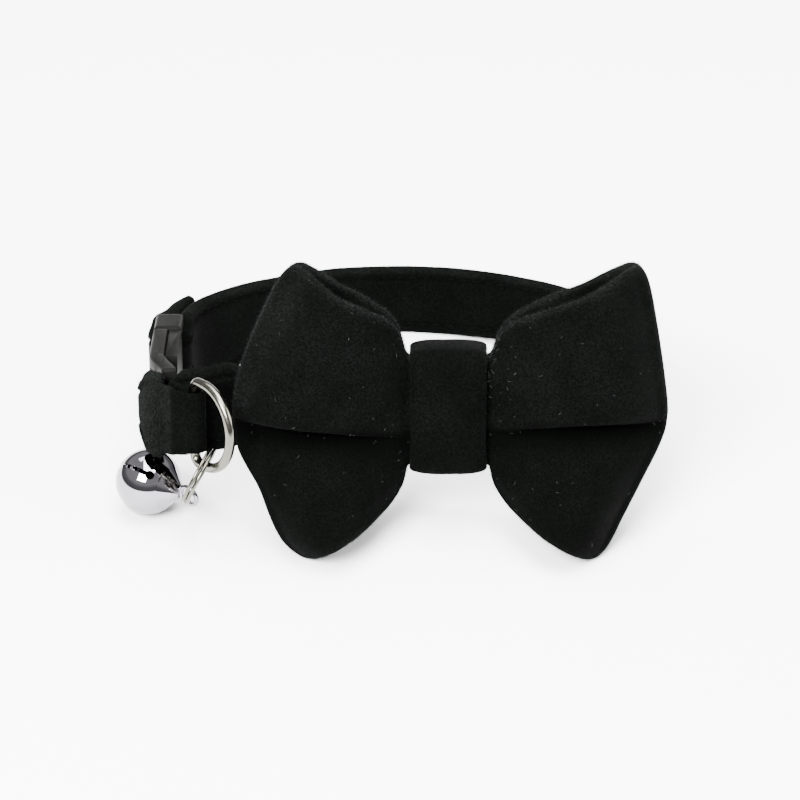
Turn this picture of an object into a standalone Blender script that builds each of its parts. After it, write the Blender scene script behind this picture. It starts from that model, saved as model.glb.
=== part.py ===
"""Velvet bow tie collar for a cat or a small dog, buckled and standing on a surface.

The collar is laid out in its own frame: x to the right, y to the back of the neck, z up along
the width of the strap. The bow sits on the front stretch, the buckle on the left side. The
whole frame then leans back until the tips of the bow and the back of the strap touch z = 0.
"""
from math import asin, atan2, cos, pi, radians, sin

import bmesh
import bpy
from mathutils import Matrix, Vector

# Strap
STRAP_WIDTH = 0.0142
STRAP_END_WIDTH = 0.0104
STRAP_THICKNESS = 0.0030
STRAP_EDGE_RADIUS = 0.0012
STRAP_TAPER_LENGTH = 0.0070
FRONT_TAIL_LENGTH = 0.0024
REAR_TAIL_LENGTH = 0.0120
ROUTE_STEP = 0.0008
BEND_STATION = 0.0011
PLAIN_STATION = 0.0042
BEND_STRETCH = 0.0150
ROLL_STRETCH = 0.0060

# Loop of the collar, along the middle of the strap
LOOP_CENTRE_X = -0.0093
LOOP_HALF_WIDTH = 0.0463
LOOP_BACK_DEPTH = 0.0460
LOOP_FRONT_DEPTH = 0.0140
FRONT_LEFT_X = -0.0400
FRONT_RIGHT_X = 0.0190
BACK_ARC_END = 126.0
CORNER_BEND = 0.0045
LEFT_BEND_RUN = 0.0066
LEFT_BEND_DROP = 0.0036
RIGHT_BEND_SHARE = 0.62
BACK_LEAVE_SHARE = 0.42
BACK_ARRIVE_SHARE = 0.36

# Buckle
BUCKLE_X = -0.0537
BUCKLE_HEIGHT = 0.0155
BUCKLE_DEPTH = 0.0053
BUCKLE_FRONT_Y = -0.0152
SOCKET_LENGTH = 0.0225
PLUG_BASE_LENGTH = 0.0082
BUCKLE_WALL = 0.0011
BUCKLE_EDGE_RADIUS = 0.0007
BAR_RADIUS = 0.0011
WINDOW_LENGTH = 0.0062
PRONG_LENGTH = 0.0125
PRONG_WIDTH = 0.0018
TONGUE_WIDTH = 0.0030

# Bow
BOW_HALF_WIDTH = 0.0386
BOW_TOP = 0.0264
BOW_BOTTOM = 0.0268
BOW_RISE = 0.0020
BOW_WAIST_TOP = 0.0086
BOW_WAIST_BOTTOM = 0.0108
BOW_WALL = 0.0016
BOW_LAYER_GAP = 0.0008
WING_DEPTH = 0.0098
WING_FOLD_RADIUS = 0.0014
CREASE_DEPTH = 0.0034
PLEAT_DEPTH = 0.0006
BOW_LEAN = 4.0

# Knot band
KNOT_WIDTH = 0.0144
KNOT_WALL = 0.0016
KNOT_CROWN = 0.0010
KNOT_CORNER_POWER = 0.30

# D-ring and its keeper
D_RING_INNER_WIDTH = 0.0142
D_RING_REACH = 0.0118
D_RING_WIRE = 0.0019
D_RING_SAG = 0.0003
D_RING_CORNER = 0.0017
D_RING_STRAIGHT_SHARE = 0.30
D_RING_TURN = 40.0
D_RING_STATION = 0.0050
KEEPER_WIDTH = 0.0120
KEEPER_WALL = 0.0009
KEEPER_LENGTH = 0.0020

# Split ring
SPLIT_RING_DIAMETER = 0.0121
SPLIT_RING_WIRE = 0.0007
SPLIT_RING_TURNS = 1.9
COIL_PITCH_SHARE = 1.12
COIL_START = 200.0
LINK_PLAY = 0.0012
LINK_DROP_SHARE = 0.92
SPLIT_RING_AZIMUTH = -20.0
LINK_ANGLE = -95.0

# Direction that the edge of the split ring and the slot of the bell face, as a rise above the
# horizontal towards the front
CHARM_FACING_RISE = 36.0

# Bell
BELL_DIAMETER = 0.0125
BELL_WALL = 0.0005
BELL_LOOP_RADIUS = 0.0019
BELL_LOOP_WIRE = 0.0009
BELL_NECK_LENGTH = 0.0016
BELL_NECK_DIAMETER = 0.0030
BELL_SLOT_WIDTH = 0.0008
BELL_HOLE_DIAMETER = 0.0017
BELL_AXIS_AZIMUTH = -36.0
BELL_SLOT_TURN = 8.0
PELLET_DIAMETER = 0.0034

# Place of the loop's centre on the surface
STAND_X = 0.0104
STAND_Y = -0.0048

# Fits
CLEARANCE = 0.0003
REST_FLATTENING = 0.0003

# Outer edge of each wing from its top corner to its bottom corner. height runs from 1 at the top
# corner through 0 at the crease to -1 at the bottom corner. reach is a share of BOW_HALF_WIDTH.
# sweep is how far the edge lies behind the plane of the bow, as a share of WING_DEPTH.
EDGE_COLUMNS = ("height", "reach", "sweep")
LEFT_EDGE = (
    (1.00, 0.700, 0.00),
    (0.96, 0.745, 0.007),
    (0.74, 0.830, 0.018),
    (0.40, 0.935, 0.035),
    (0.12, 0.982, 0.042),
    (-0.10, 0.978, 0.042),
    (-0.24, 0.958, 0.035),
    (-0.50, 0.867, 0.021),
    (-0.75, 0.805, 0.007),
    (-0.93, 0.740, 0.00),
    (-1.00, 0.675, 0.00),
)
RIGHT_EDGE = (
    (1.00, 0.865, 0.00),
    (0.95, 0.895, 0.007),
    (0.66, 0.940, 0.018),
    (0.32, 0.980, 0.035),
    (0.08, 1.000, 0.042),
    (-0.06, 0.995, 0.042),
    (-0.20, 0.962, 0.035),
    (-0.48, 0.872, 0.021),
    (-0.74, 0.788, 0.007),
    (-0.94, 0.726, 0.00),
    (-1.00, 0.688, 0.00),
)

# Sections of a wing from the middle of the bow to its outer edge. along is 0 in the middle,
# WAIST_END where the wing leaves the knot and 1 at its outer edge.
# top and bottom say how far the edge has opened from the waist (0) to the corner (1).
# front and back are how far each layer stands off the plane of the bow, as shares of WING_DEPTH.
# crease is how far the crease lies below the middle, as a share of BOW_BOTTOM.
WAIST_END = 0.20
WING_COLUMNS = ("along", "top", "bottom", "front", "back", "crease")
WING = (
    (0.00, 0.00, 0.00, 0.00, 0.00, 0.16),
    (0.10, 0.00, 0.00, 0.00, 0.00, 0.16),
    (0.20, 0.00, 0.00, 0.00, 0.00, 0.16),
    (0.24, 0.20, 0.20, 0.10, 0.00, 0.16),
    (0.30, 0.37, 0.34, 0.25, 0.00, 0.15),
    (0.37, 0.47, 0.45, 0.42, 0.00, 0.15),
    (0.48, 0.58, 0.55, 0.66, 0.01, 0.14),
    (0.60, 0.69, 0.65, 0.85, 0.02, 0.13),
    (0.72, 0.78, 0.74, 0.94, 0.02, 0.12),
    (0.84, 0.88, 0.85, 0.83, 0.01, 0.11),
    (0.93, 0.95, 0.94, 0.58, 0.00, 0.10),
    (1.00, 1.00, 1.00, 0.26, 0.00, 0.10),
)

# How the wing stands at each height between the bottom edge (-1), the crease (0) and the top edge
# (1). fullness is the share of its depth that the front layer keeps: the panel above the crease
# overhangs the one below it. forward is how far both layers come forward, as a share of WING_DEPTH.
FULLNESS_COLUMNS = ("height", "fullness", "forward")
FULLNESS = (
    (-1.00, 0.86, 0.60),
    (-0.86, 0.95, 0.50),
    (-0.68, 0.99, 0.38),
    (-0.50, 0.97, 0.26),
    (-0.34, 0.92, 0.16),
    (-0.20, 0.83, 0.08),
    (-0.10, 0.72, 0.03),
    (-0.03, 0.60, 0.01),
    (0.02, 0.64, 0.00),
    (0.06, 0.92, 0.00),
    (0.14, 1.00, 0.00),
    (0.30, 1.02, 0.00),
    (0.48, 1.01, 0.00),
    (0.66, 1.00, 0.02),
    (0.84, 0.98, 0.04),
    (1.00, 0.94, 0.06),
)

VELVET = (0.006, 0.006, 0.007, 1.0)
GLOSS_BLACK = (0.030, 0.031, 0.034, 1.0)
NICKEL = (0.720, 0.700, 0.650, 1.0)
CHROME = (0.780, 0.780, 0.800, 1.0)


def clear_scene():
    """Remove whatever the scene holds."""
    for old in list(bpy.data.objects):
        bpy.data.objects.remove(old, do_unlink=True)


def new_collection(name):
    collection = bpy.data.collections.new(name)
    bpy.context.scene.collection.children.link(collection)
    return collection


def new_material(name, colour, roughness, metallic):
    material = bpy.data.materials.new(name)
    material.use_nodes = True
    shader = material.node_tree.nodes["Principled BSDF"]
    shader.inputs["Base Color"].default_value = colour
    shader.inputs["Roughness"].default_value = roughness
    shader.inputs["Metallic"].default_value = metallic
    return material


def lerp(a, b, share):
    return a + (b - a) * share


def smooth(share):
    """Ease from 0 to 1 with level ends."""
    share = min(max(share, 0.0), 1.0)
    return share * share * (3.0 - 2.0 * share)


def read_table(table, columns, at, name):
    """Value of a named column where the first column equals at, between rows along a smooth curve."""
    rows = sorted(table)
    column = columns.index(name)
    last = len(rows) - 1
    if at <= rows[0][0]:
        return rows[0][column]
    if at >= rows[last][0]:
        return rows[last][column]
    low = max(i for i in range(last) if rows[i][0] <= at)

    def slope(i):
        before = max(i - 1, 0)
        after = min(i + 1, last)
        return (rows[after][column] - rows[before][column]) / (rows[after][0] - rows[before][0])

    step = rows[low + 1][0] - rows[low][0]
    t = (at - rows[low][0]) / step
    rise = (2 * t**3 - 3 * t**2 + 1) * rows[low][column] + (3 * t**2 - 2 * t**3) * rows[low + 1][column]
    return rise + step * ((t**3 - 2 * t**2 + t) * slope(low) + (t**3 - t**2) * slope(low + 1))


def arc(centre, radius_x, radius_y, start, end, steps):
    """Points of an elliptic arc in plan, angles in degrees."""
    points = []
    for i in range(steps + 1):
        angle = radians(lerp(start, end, i / steps))
        points.append(Vector((centre[0] + radius_x * cos(angle), centre[1] + radius_y * sin(angle))))
    return points


def bezier(p0, p1, p2, p3, steps):
    """Points of a cubic curve in plan."""
    points = []
    for i in range(steps + 1):
        t = i / steps
        s = 1.0 - t
        x = s**3 * p0[0] + 3 * s * s * t * p1[0] + 3 * s * t * t * p2[0] + t**3 * p3[0]
        y = s**3 * p0[1] + 3 * s * s * t * p1[1] + 3 * s * t * t * p2[1] + t**3 * p3[1]
        points.append(Vector((x, y)))
    return points


def lengths_along(points):
    total = [0.0]
    for a, b in zip(points, points[1:]):
        total.append(total[-1] + (b - a).length)
    return total


def point_at(points, distance):
    """Point and unit direction at a distance along a run of points."""
    total = lengths_along(points)
    for i in range(len(points) - 1):
        if distance <= total[i + 1] or i == len(points) - 2:
            step = points[i + 1] - points[i]
            share = (distance - total[i]) / step.length
            return points[i] + step * share, step.normalized()


def resample(points, spacing, start=0.0, end=None):
    """Points at an even spacing along a run, between two distances."""
    end = lengths_along(points)[-1] if end is None else end
    count = max(2, round((end - start) / spacing))
    return [point_at(points, lerp(start, end, i / count))[0] for i in range(count + 1)]


def outward(direction):
    """Normal that points out of the loop, for a run that goes round it with the inside at left."""
    return Vector((direction.y, -direction.x))


def build_mesh(name, verts, faces, collection, material, parent):
    mesh = bpy.data.meshes.new(name)
    mesh.from_pydata([tuple(v) for v in verts], [], faces)
    return place_mesh(name, mesh, collection, material, parent)


def place_mesh(name, mesh, collection, material, parent):
    obj = bpy.data.objects.new(name, mesh)
    collection.objects.link(obj)
    obj.parent = parent
    if material is not None:
        mesh.materials.append(material)
    mesh.shade_smooth()
    return obj


def grid_faces(columns, rows, closed):
    """Quads of a sheet of columns x rows points, joined round when closed."""
    faces = []
    for i in range(columns if closed else columns - 1):
        j = (i + 1) % columns
        for k in range(rows - 1):
            faces.append((i * rows + k, j * rows + k, j * rows + k + 1, i * rows + k + 1))
    return faces


def thicken(obj, thickness, offset=0.0):
    solidify = obj.modifiers.new("Wall", "SOLIDIFY")
    solidify.thickness = thickness
    solidify.offset = offset
    solidify.use_even_offset = True
    solidify.thickness_clamp = 1.0


def round_edges(obj, width, angle=50.0, segments=2):
    bevel = obj.modifiers.new("Rounded edges", "BEVEL")
    bevel.width = width
    bevel.segments = segments
    bevel.limit_method = "ANGLE"
    bevel.angle_limit = radians(angle)


def cut(obj, cutter, operation="DIFFERENCE"):
    boolean = obj.modifiers.new(operation.title() + " " + cutter.name, "BOOLEAN")
    boolean.operation = operation
    boolean.solver = "EXACT"
    boolean.object = cutter


def hide_cutter(obj):
    obj.hide_render = True
    obj.display_type = "WIRE"


def box_object(name, size, centre, collection, material, parent):
    mesh = bpy.data.meshes.new(name)
    shape = bmesh.new()
    bmesh.ops.create_cube(shape, size=1.0)
    bmesh.ops.scale(shape, vec=size, verts=shape.verts)
    bmesh.ops.translate(shape, vec=centre, verts=shape.verts)
    shape.to_mesh(mesh)
    shape.free()
    return place_mesh(name, mesh, collection, material, parent)


def box_cutter(name, size, centre, cutters, parent):
    cutter = box_object(name, size, centre, cutters, None, parent)
    hide_cutter(cutter)
    return cutter


def wire_object(name, points, radius, sides_level, closed, collection, material, parent):
    """Round wire along points, as a curve with a bevel and filled caps."""
    curve = bpy.data.curves.new(name, "CURVE")
    curve.dimensions = "3D"
    curve.bevel_depth = radius
    curve.bevel_resolution = sides_level
    curve.use_fill_caps = not closed
    spline = curve.splines.new("POLY")
    spline.points.add(len(points) - 1)
    for point, place in zip(spline.points, points):
        point.co = (*place, 1.0)
    spline.use_cyclic_u = closed
    spline.use_smooth = True
    obj = bpy.data.objects.new(name, curve)
    collection.objects.link(obj)
    obj.parent = parent
    curve.materials.append(material)
    return obj


def wire_mesh(wire):
    """The same wire as a closed mesh, for a piece that is cut or joined."""
    bpy.context.view_layer.update()
    evaluated = wire.evaluated_get(bpy.context.evaluated_depsgraph_get())
    mesh = bpy.data.meshes.new_from_object(evaluated)
    shape = bmesh.new()
    shape.from_mesh(mesh)
    bmesh.ops.remove_doubles(shape, verts=shape.verts, dist=0.00001)
    shape.to_mesh(mesh)
    shape.free()
    solid = bpy.data.objects.new(wire.name + "_solid", mesh)
    solid.matrix_world = wire.matrix_world
    wire.users_collection[0].objects.link(solid)
    bpy.data.objects.remove(wire, do_unlink=True)
    return solid


# Route of the strap

def bar_places():
    """Centres of the two buckle bars in plan: front and rear."""
    front = Vector((BUCKLE_X, BUCKLE_FRONT_Y + BAR_RADIUS))
    rear_end = BUCKLE_FRONT_Y + SOCKET_LENGTH + CLEARANCE + PLUG_BASE_LENGTH
    rear = Vector((BUCKLE_X, rear_end - BAR_RADIUS))
    return front, rear


def turn_radius():
    """Radius of the strap's middle where it turns round a bar."""
    return BAR_RADIUS + CLEARANCE + STRAP_THICKNESS / 2


def main_route():
    """Middle of the strap in plan, from the front bar round the neck to the rear bar."""
    front, rear = bar_places()
    side = turn_radius()
    start = front + Vector((side, 0))
    end = rear + Vector((side, 0))
    front_left = Vector((FRONT_LEFT_X, -LOOP_FRONT_DEPTH))
    front_right = Vector((FRONT_RIGHT_X, -LOOP_FRONT_DEPTH))
    right = Vector((LOOP_CENTRE_X + LOOP_HALF_WIDTH, 0))
    leave_left = front_left - Vector((LEFT_BEND_RUN, LEFT_BEND_DROP))
    route = bezier(start, start - Vector((0, CORNER_BEND)), leave_left, front_left, 20)
    route += [front_right]
    round_x = right.x - front_right.x
    bend_right = front_right + Vector((RIGHT_BEND_SHARE * round_x, 0))
    bend_side = right - Vector((0, RIGHT_BEND_SHARE * LOOP_FRONT_DEPTH))
    route += bezier(front_right, bend_right, bend_side, right, 14)[1:]
    back = arc((LOOP_CENTRE_X, 0), LOOP_HALF_WIDTH, LOOP_BACK_DEPTH, 0, BACK_ARC_END, 48)
    route += back[1:]
    leave = (back[-1] - back[-2]).normalized()
    reach = (end - back[-1]).length
    bend_leave = back[-1] + leave * BACK_LEAVE_SHARE * reach
    bend_arrive = end + Vector((0, BACK_ARRIVE_SHARE * reach))
    route += bezier(back[-1], bend_leave, bend_arrive, end, 20)[1:]
    return resample(route, ROUTE_STEP)


def tail_route(route, length, outside):
    """Outer layer of a doubled end, from the bar along the first part of a route."""
    apart = 2 * turn_radius()
    lying = STRAP_THICKNESS + CLEARANCE
    count = max(2, round(length / BEND_STATION))
    points = []
    for i in range(1, count + 1):
        distance = length * i / count
        place, direction = point_at(route, distance)
        side = lerp(apart, lying, smooth(distance / apart))
        points.append(place + outward(direction) * side * outside)
    return points


def strap_route():
    """Whole middle line of the strap, with both ends folded back on the outside."""
    front, rear = bar_places()
    side = turn_radius()
    route = main_route()
    length = lengths_along(route)[-1]
    stations = resample(route, BEND_STATION, 0.0, BEND_STRETCH)
    stations += resample(route, PLAIN_STATION, BEND_STRETCH, length - BEND_STRETCH)[1:]
    stations += resample(route, BEND_STATION, length - BEND_STRETCH, length)[1:]
    front_turn = arc(front, side, side, 180, 0, 10)
    rear_turn = arc(rear, side, side, 0, -180, 10)
    front_tail = tail_route(route, FRONT_TAIL_LENGTH, 1)
    rear_tail = tail_route(list(reversed(route)), REAR_TAIL_LENGTH, -1)
    tail_count = len(front_tail) + len(front_turn) - 1
    whole = list(reversed(front_tail)) + front_turn[:-1] + stations + rear_turn[1:] + rear_tail
    return whole, tail_count, tail_count + len(stations) - 1


def strap_roll(place):
    """Lean of the strap at a place: with the bow at the front, upright past the corners."""
    if place.y > 0:
        return 0.0
    left = smooth((place.x - FRONT_LEFT_X) / ROLL_STRETCH + 1)
    right = smooth((FRONT_RIGHT_X + 0.4 * BOW_HALF_WIDTH - place.x) / (0.5 * BOW_HALF_WIDTH))
    return radians(BOW_LEAN) * min(left, right)


def make_strap(collection, material, parent):
    points, first, last = strap_route()
    total = lengths_along(points)
    verts = []
    for i, place in enumerate(points):
        ahead = points[min(i + 1, len(points) - 1)]
        behind = points[max(i - 1, 0)]
        normal = outward((ahead - behind).normalized())
        inside = min(total[i] - total[first], total[last] - total[i])
        share = smooth(inside / STRAP_TAPER_LENGTH - 0.35)
        half = 0.5 * lerp(STRAP_END_WIDTH, STRAP_WIDTH, share)
        roll = strap_roll(place)
        for k in range(3):
            height = half * (k - 1)
            lean = normal * (-height * sin(roll))
            verts.append((place.x + lean.x, place.y + lean.y, height * cos(roll)))
    faces = grid_faces(len(points), 3, False)
    strap = build_mesh("strap", verts, faces, collection, material, parent)
    thicken(strap, STRAP_THICKNESS)
    round_edges(strap, STRAP_EDGE_RADIUS)
    return strap


# Buckle

def make_buckle(collection, cutters, material, parent):
    front, rear = bar_places()
    window_height = STRAP_END_WIDTH + 2 * CLEARANCE
    seam = BUCKLE_FRONT_Y + SOCKET_LENGTH
    bar_depth = 2 * BAR_RADIUS
    past = 4 * BUCKLE_DEPTH

    def window(name, bar_y, inward):
        centre = bar_y + inward * (BAR_RADIUS + WINDOW_LENGTH / 2)
        return box_cutter(name, (past, WINDOW_LENGTH, window_height), (BUCKLE_X, centre, 0), cutters, parent)

    def bar_relief(name, bar_y, side, inward):
        """Space in front of and behind a bar, where the strap lies round it."""
        width = BUCKLE_DEPTH
        centre_x = BUCKLE_X + side * (BAR_RADIUS + width / 2)
        size = (width, 4 * bar_depth, window_height)
        centre = (centre_x, bar_y - inward * 0.5 * bar_depth, 0)
        return box_cutter(name, size, centre, cutters, parent)

    socket = box_object("buckle_socket", (BUCKLE_DEPTH, SOCKET_LENGTH, BUCKLE_HEIGHT),
                        (BUCKLE_X, BUCKLE_FRONT_Y + SOCKET_LENGTH / 2, 0), collection, material, parent)
    round_edges(socket, BUCKLE_EDGE_RADIUS)
    cut(socket, window("socket_window", front.y, 1))
    for side in (-1, 1):
        cut(socket, bar_relief("socket_relief" + "_io"[side], front.y, side, 1))
    pocket_start = front.y + BAR_RADIUS + WINDOW_LENGTH + BUCKLE_WALL
    pocket_length = seam - pocket_start + BUCKLE_WALL
    pocket_depth = BUCKLE_DEPTH - 2 * BUCKLE_WALL
    pocket_centre = pocket_start + pocket_length / 2
    pocket_height = BUCKLE_HEIGHT - 2 * BUCKLE_WALL
    pocket = box_cutter("socket_pocket", (pocket_depth, pocket_length, pocket_height),
                        (BUCKLE_X, pocket_centre, 0), cutters, parent)
    cut(socket, pocket)
    opening_length = 0.62 * (seam - pocket_start)
    opening = box_cutter("socket_opening", (pocket_depth, opening_length, 2 * BUCKLE_HEIGHT),
                         (BUCKLE_X, pocket_start + opening_length / 2, 0), cutters, parent)
    cut(socket, opening)

    base_centre = seam + CLEARANCE + PLUG_BASE_LENGTH / 2
    plug = box_object("buckle_plug", (BUCKLE_DEPTH, PLUG_BASE_LENGTH, BUCKLE_HEIGHT),
                      (BUCKLE_X, base_centre, 0), collection, material, parent)
    round_edges(plug, BUCKLE_EDGE_RADIUS)
    plug_window_length = PLUG_BASE_LENGTH - bar_depth - BUCKLE_WALL
    plug_window = box_cutter("plug_window", (past, plug_window_length, window_height),
                             (BUCKLE_X, rear.y - BAR_RADIUS - plug_window_length / 2, 0), cutters, parent)
    cut(plug, plug_window)
    for side in (-1, 1):
        cut(plug, bar_relief("plug_relief" + "_io"[side], rear.y, side, -1))
    prong_depth = pocket_depth - 2 * CLEARANCE
    prong_y = seam - PRONG_LENGTH / 2 + 1.5 * BUCKLE_WALL
    prong_z = pocket_height / 2 - CLEARANCE - PRONG_WIDTH / 2
    prongs = (("prong_top", PRONG_WIDTH, prong_z), ("prong_bottom", PRONG_WIDTH, -prong_z),
              ("tongue", TONGUE_WIDTH, 0))
    for name, width, place_z in prongs:
        size = (prong_depth, PRONG_LENGTH, width)
        cut(plug, box_cutter(name, size, (BUCKLE_X, prong_y, place_z), cutters, parent), "UNION")
    return socket, plug


# Bow

def bow_plane():
    """Place of the middle between the bow's two layers, in front of the strap."""
    strap_front = -LOOP_FRONT_DEPTH - STRAP_THICKNESS / 2
    return strap_front - CLEARANCE - BOW_WALL - BOW_LAYER_GAP / 2


def wing_point(edge, side, along, height, layer):
    """Point on the middle of one layer of a wing. layer is -1 for the front and 1 for the back."""
    section = {name: read_table(WING, WING_COLUMNS, along, name) for name in WING_COLUMNS}
    crease = -section["crease"] * BOW_BOTTOM
    if height >= 0:
        edge_z = lerp(BOW_WAIST_TOP, BOW_TOP, section["top"])
        z = lerp(crease, edge_z, height)
    else:
        edge_z = -lerp(BOW_WAIST_BOTTOM, BOW_BOTTOM, section["bottom"])
        z = lerp(crease, edge_z, -height)
    reach = read_table(edge, EDGE_COLUMNS, height, "reach") * BOW_HALF_WIDTH
    waist = KNOT_WIDTH / 2 + 2 * CLEARANCE
    out = (along - WAIST_END) / (1 - WAIST_END)
    x = side * (waist * along / WAIST_END if out < 0 else lerp(waist, reach, out))
    base = (BOW_WALL + BOW_LAYER_GAP) / 2
    forward = read_table(FULLNESS, FULLNESS_COLUMNS, height, "forward") * WING_DEPTH * smooth(out / 0.75)
    sweep = read_table(edge, EDGE_COLUMNS, height, "sweep") * WING_DEPTH * smooth(2 * out - 1)
    if layer > 0:
        return Vector((x, base + section["back"] * WING_DEPTH - forward, z))
    full = read_table(FULLNESS, FULLNESS_COLUMNS, height, "fullness")
    stand = section["front"] * WING_DEPTH * full
    valley = CREASE_DEPTH * (1 - full) * smooth(4 * out) * smooth(8 * (1.02 - out))
    pleat = PLEAT_DEPTH * sin(3 * pi * height) * smooth(6 * out) * smooth(3 * (0.6 - out))
    return Vector((x, -base - stand + valley + pleat + sweep - forward, z))


def make_bow(collection, material, parent):
    heights = [row[0] for row in FULLNESS]
    along_steps = [row[0] for row in WING]
    columns = []
    for edge, side in ((RIGHT_EDGE, 1), (LEFT_EDGE, -1)):
        back = []
        front = []
        for along in along_steps:
            back.append([wing_point(edge, side, along, h, 1) for h in heights])
            front.append([wing_point(edge, side, along, h, -1) for h in heights])
        fold = []
        for angle in (-45, 0, 45):
            turn = []
            for h_index in range(len(heights)):
                inner = back[-1][h_index]
                outer = front[-1][h_index]
                middle = (inner + outer) / 2
                half = (inner - outer).length / 2
                bulge = WING_FOLD_RADIUS * cos(radians(angle))
                turn.append(middle + Vector((side * bulge, half * sin(radians(angle)), 0)))
            fold.append(turn)
        if side > 0:
            columns += back + list(reversed(fold)) + list(reversed(front))
        else:
            columns += front[1:] + fold + list(reversed(back))[:-1]
    verts = [place for column in columns for place in column]
    faces = grid_faces(len(columns), len(heights), True)
    bow = build_mesh("bow", verts, faces, collection, material, parent)
    thicken(bow, BOW_WALL)
    return bow


# Knot band

def make_knot(collection, material, parent):
    """Band round the waist of the bow and the strap behind it, in the frame of the bow."""
    bow_front = -(BOW_LAYER_GAP / 2 + BOW_WALL)
    strap_back = -bow_plane() - LOOP_FRONT_DEPTH + STRAP_THICKNESS / 2
    wall = KNOT_WALL / 2
    front = bow_front - 2 * CLEARANCE - wall
    back = strap_back + 2 * CLEARANCE + wall
    top = BOW_WAIST_TOP + CLEARANCE + wall
    bottom = -BOW_WAIST_BOTTOM - CLEARANCE - wall
    strap_bottom = -BOW_RISE - STRAP_WIDTH / 2 - 2 * CLEARANCE - wall
    half_depth = (back - front) / 2
    middle = (back + front) / 2
    low = min(bottom, strap_bottom)
    half_height = (top - low) / 2
    rise = (top + low) / 2
    power = KNOT_CORNER_POWER
    verts = []
    around = 32
    across = 7
    for i in range(around):
        angle = 2 * pi * i / around
        side_y = -cos(angle)
        side_z = sin(angle)
        y = middle + half_depth * (abs(side_y) ** power) * (1 if side_y >= 0 else -1)
        z = rise + half_height * (abs(side_z) ** power) * (1 if side_z >= 0 else -1)
        for k in range(across):
            share = 2 * k / (across - 1) - 1
            crown = KNOT_CROWN * (1 - share**4)
            outward_y = crown * max(-side_y, 0) * -1
            outward_z = 0.6 * crown * side_z
            verts.append((KNOT_WIDTH / 2 * share, y + outward_y, z + outward_z))
    faces = grid_faces(around, across, True)
    knot = build_mesh("knot_band", verts, faces, collection, material, parent)
    thicken(knot, KNOT_WALL)
    return knot


# D-ring and keeper

def ring_bar_place():
    """Plan place of the D-ring's straight bar on the outside of the strap, and the strap there."""
    place, direction = point_at(main_route(), D_RING_STATION)
    normal = outward(direction)
    stand = STRAP_THICKNESS / 2 + CLEARANCE + KEEPER_WALL + CLEARANCE + D_RING_WIRE / 2
    return place + normal * stand, place, direction


def d_ring_path():
    """Middle of the D-ring's wire in the collar's frame."""
    bar, _, _ = ring_bar_place()
    half = (D_RING_INNER_WIDTH + D_RING_WIRE) / 2
    reach = D_RING_REACH - D_RING_WIRE / 2
    along = Vector((sin(radians(D_RING_TURN)), -cos(radians(D_RING_TURN)), 0))
    corner = D_RING_CORNER
    outline = []
    bar_steps = 6
    for i in range(bar_steps + 1):
        outline.append((0.0, lerp(-half + corner, half - corner, i / bar_steps)))
    for i in range(1, 5):
        angle = radians(90 * i / 5)
        outline.append((corner * (1 - cos(angle)), half - corner * (1 - sin(angle))))
    bow_start = D_RING_STRAIGHT_SHARE * reach
    outline.append((corner, half))
    steps = 20
    for i in range(steps + 1):
        angle = radians(90 - 180 * i / steps)
        outline.append((bow_start + (reach - bow_start) * cos(angle), half * sin(angle)))
    outline.append((corner, -half))
    for i in range(1, 5):
        angle = radians(90 * i / 5)
        outline.append((corner * (1 - sin(angle)), -half + corner * (1 - cos(angle))))
    base = Vector((bar.x, bar.y, -D_RING_SAG))
    return [base + along * e + Vector((0, 0, z)) for e, z in outline], base, along, half, reach, bow_start


def make_d_ring(collection, material, parent):
    path = d_ring_path()[0]
    return wire_object("d_ring", path, D_RING_WIRE / 2, 2, True, collection, material, parent)


def make_keeper(collection, material, parent):
    bar, _, _ = ring_bar_place()
    route = main_route()
    turn = D_RING_WIRE / 2 + CLEARANCE + KEEPER_WALL / 2
    under = STRAP_THICKNESS / 2 + CLEARANCE + KEEPER_WALL / 2
    over = under + 2 * turn
    lying = under + KEEPER_WALL + CLEARANCE
    steps = 6
    inner = []
    outer = []
    for i in range(steps + 1):
        distance = D_RING_STATION - KEEPER_LENGTH * (1 - i / steps)
        place, direction = point_at(route, distance)
        normal = outward(direction)
        inner.append(place + normal * under)
        outer.append(place + normal * lerp(lying, over, smooth(i / steps * 1.1)))
    _, _, direction = ring_bar_place()
    heading = atan2(outward(direction).y, outward(direction).x)
    turn_points = []
    for i in range(1, 8):
        angle = heading + pi - pi * i / 8
        turn_points.append(bar + Vector((cos(angle), sin(angle))) * turn)
    points = inner + turn_points + list(reversed(outer))
    verts = []
    for place in points:
        for k in (-1, 0, 1):
            verts.append((place.x, place.y, -D_RING_SAG * 0.5 + k * KEEPER_WIDTH / 2))
    faces = grid_faces(len(points), 3, False)
    keeper = build_mesh("ring_keeper", verts, faces, collection, material, parent)
    thicken(keeper, KEEPER_WALL)
    return keeper


# Split ring and bell

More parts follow.
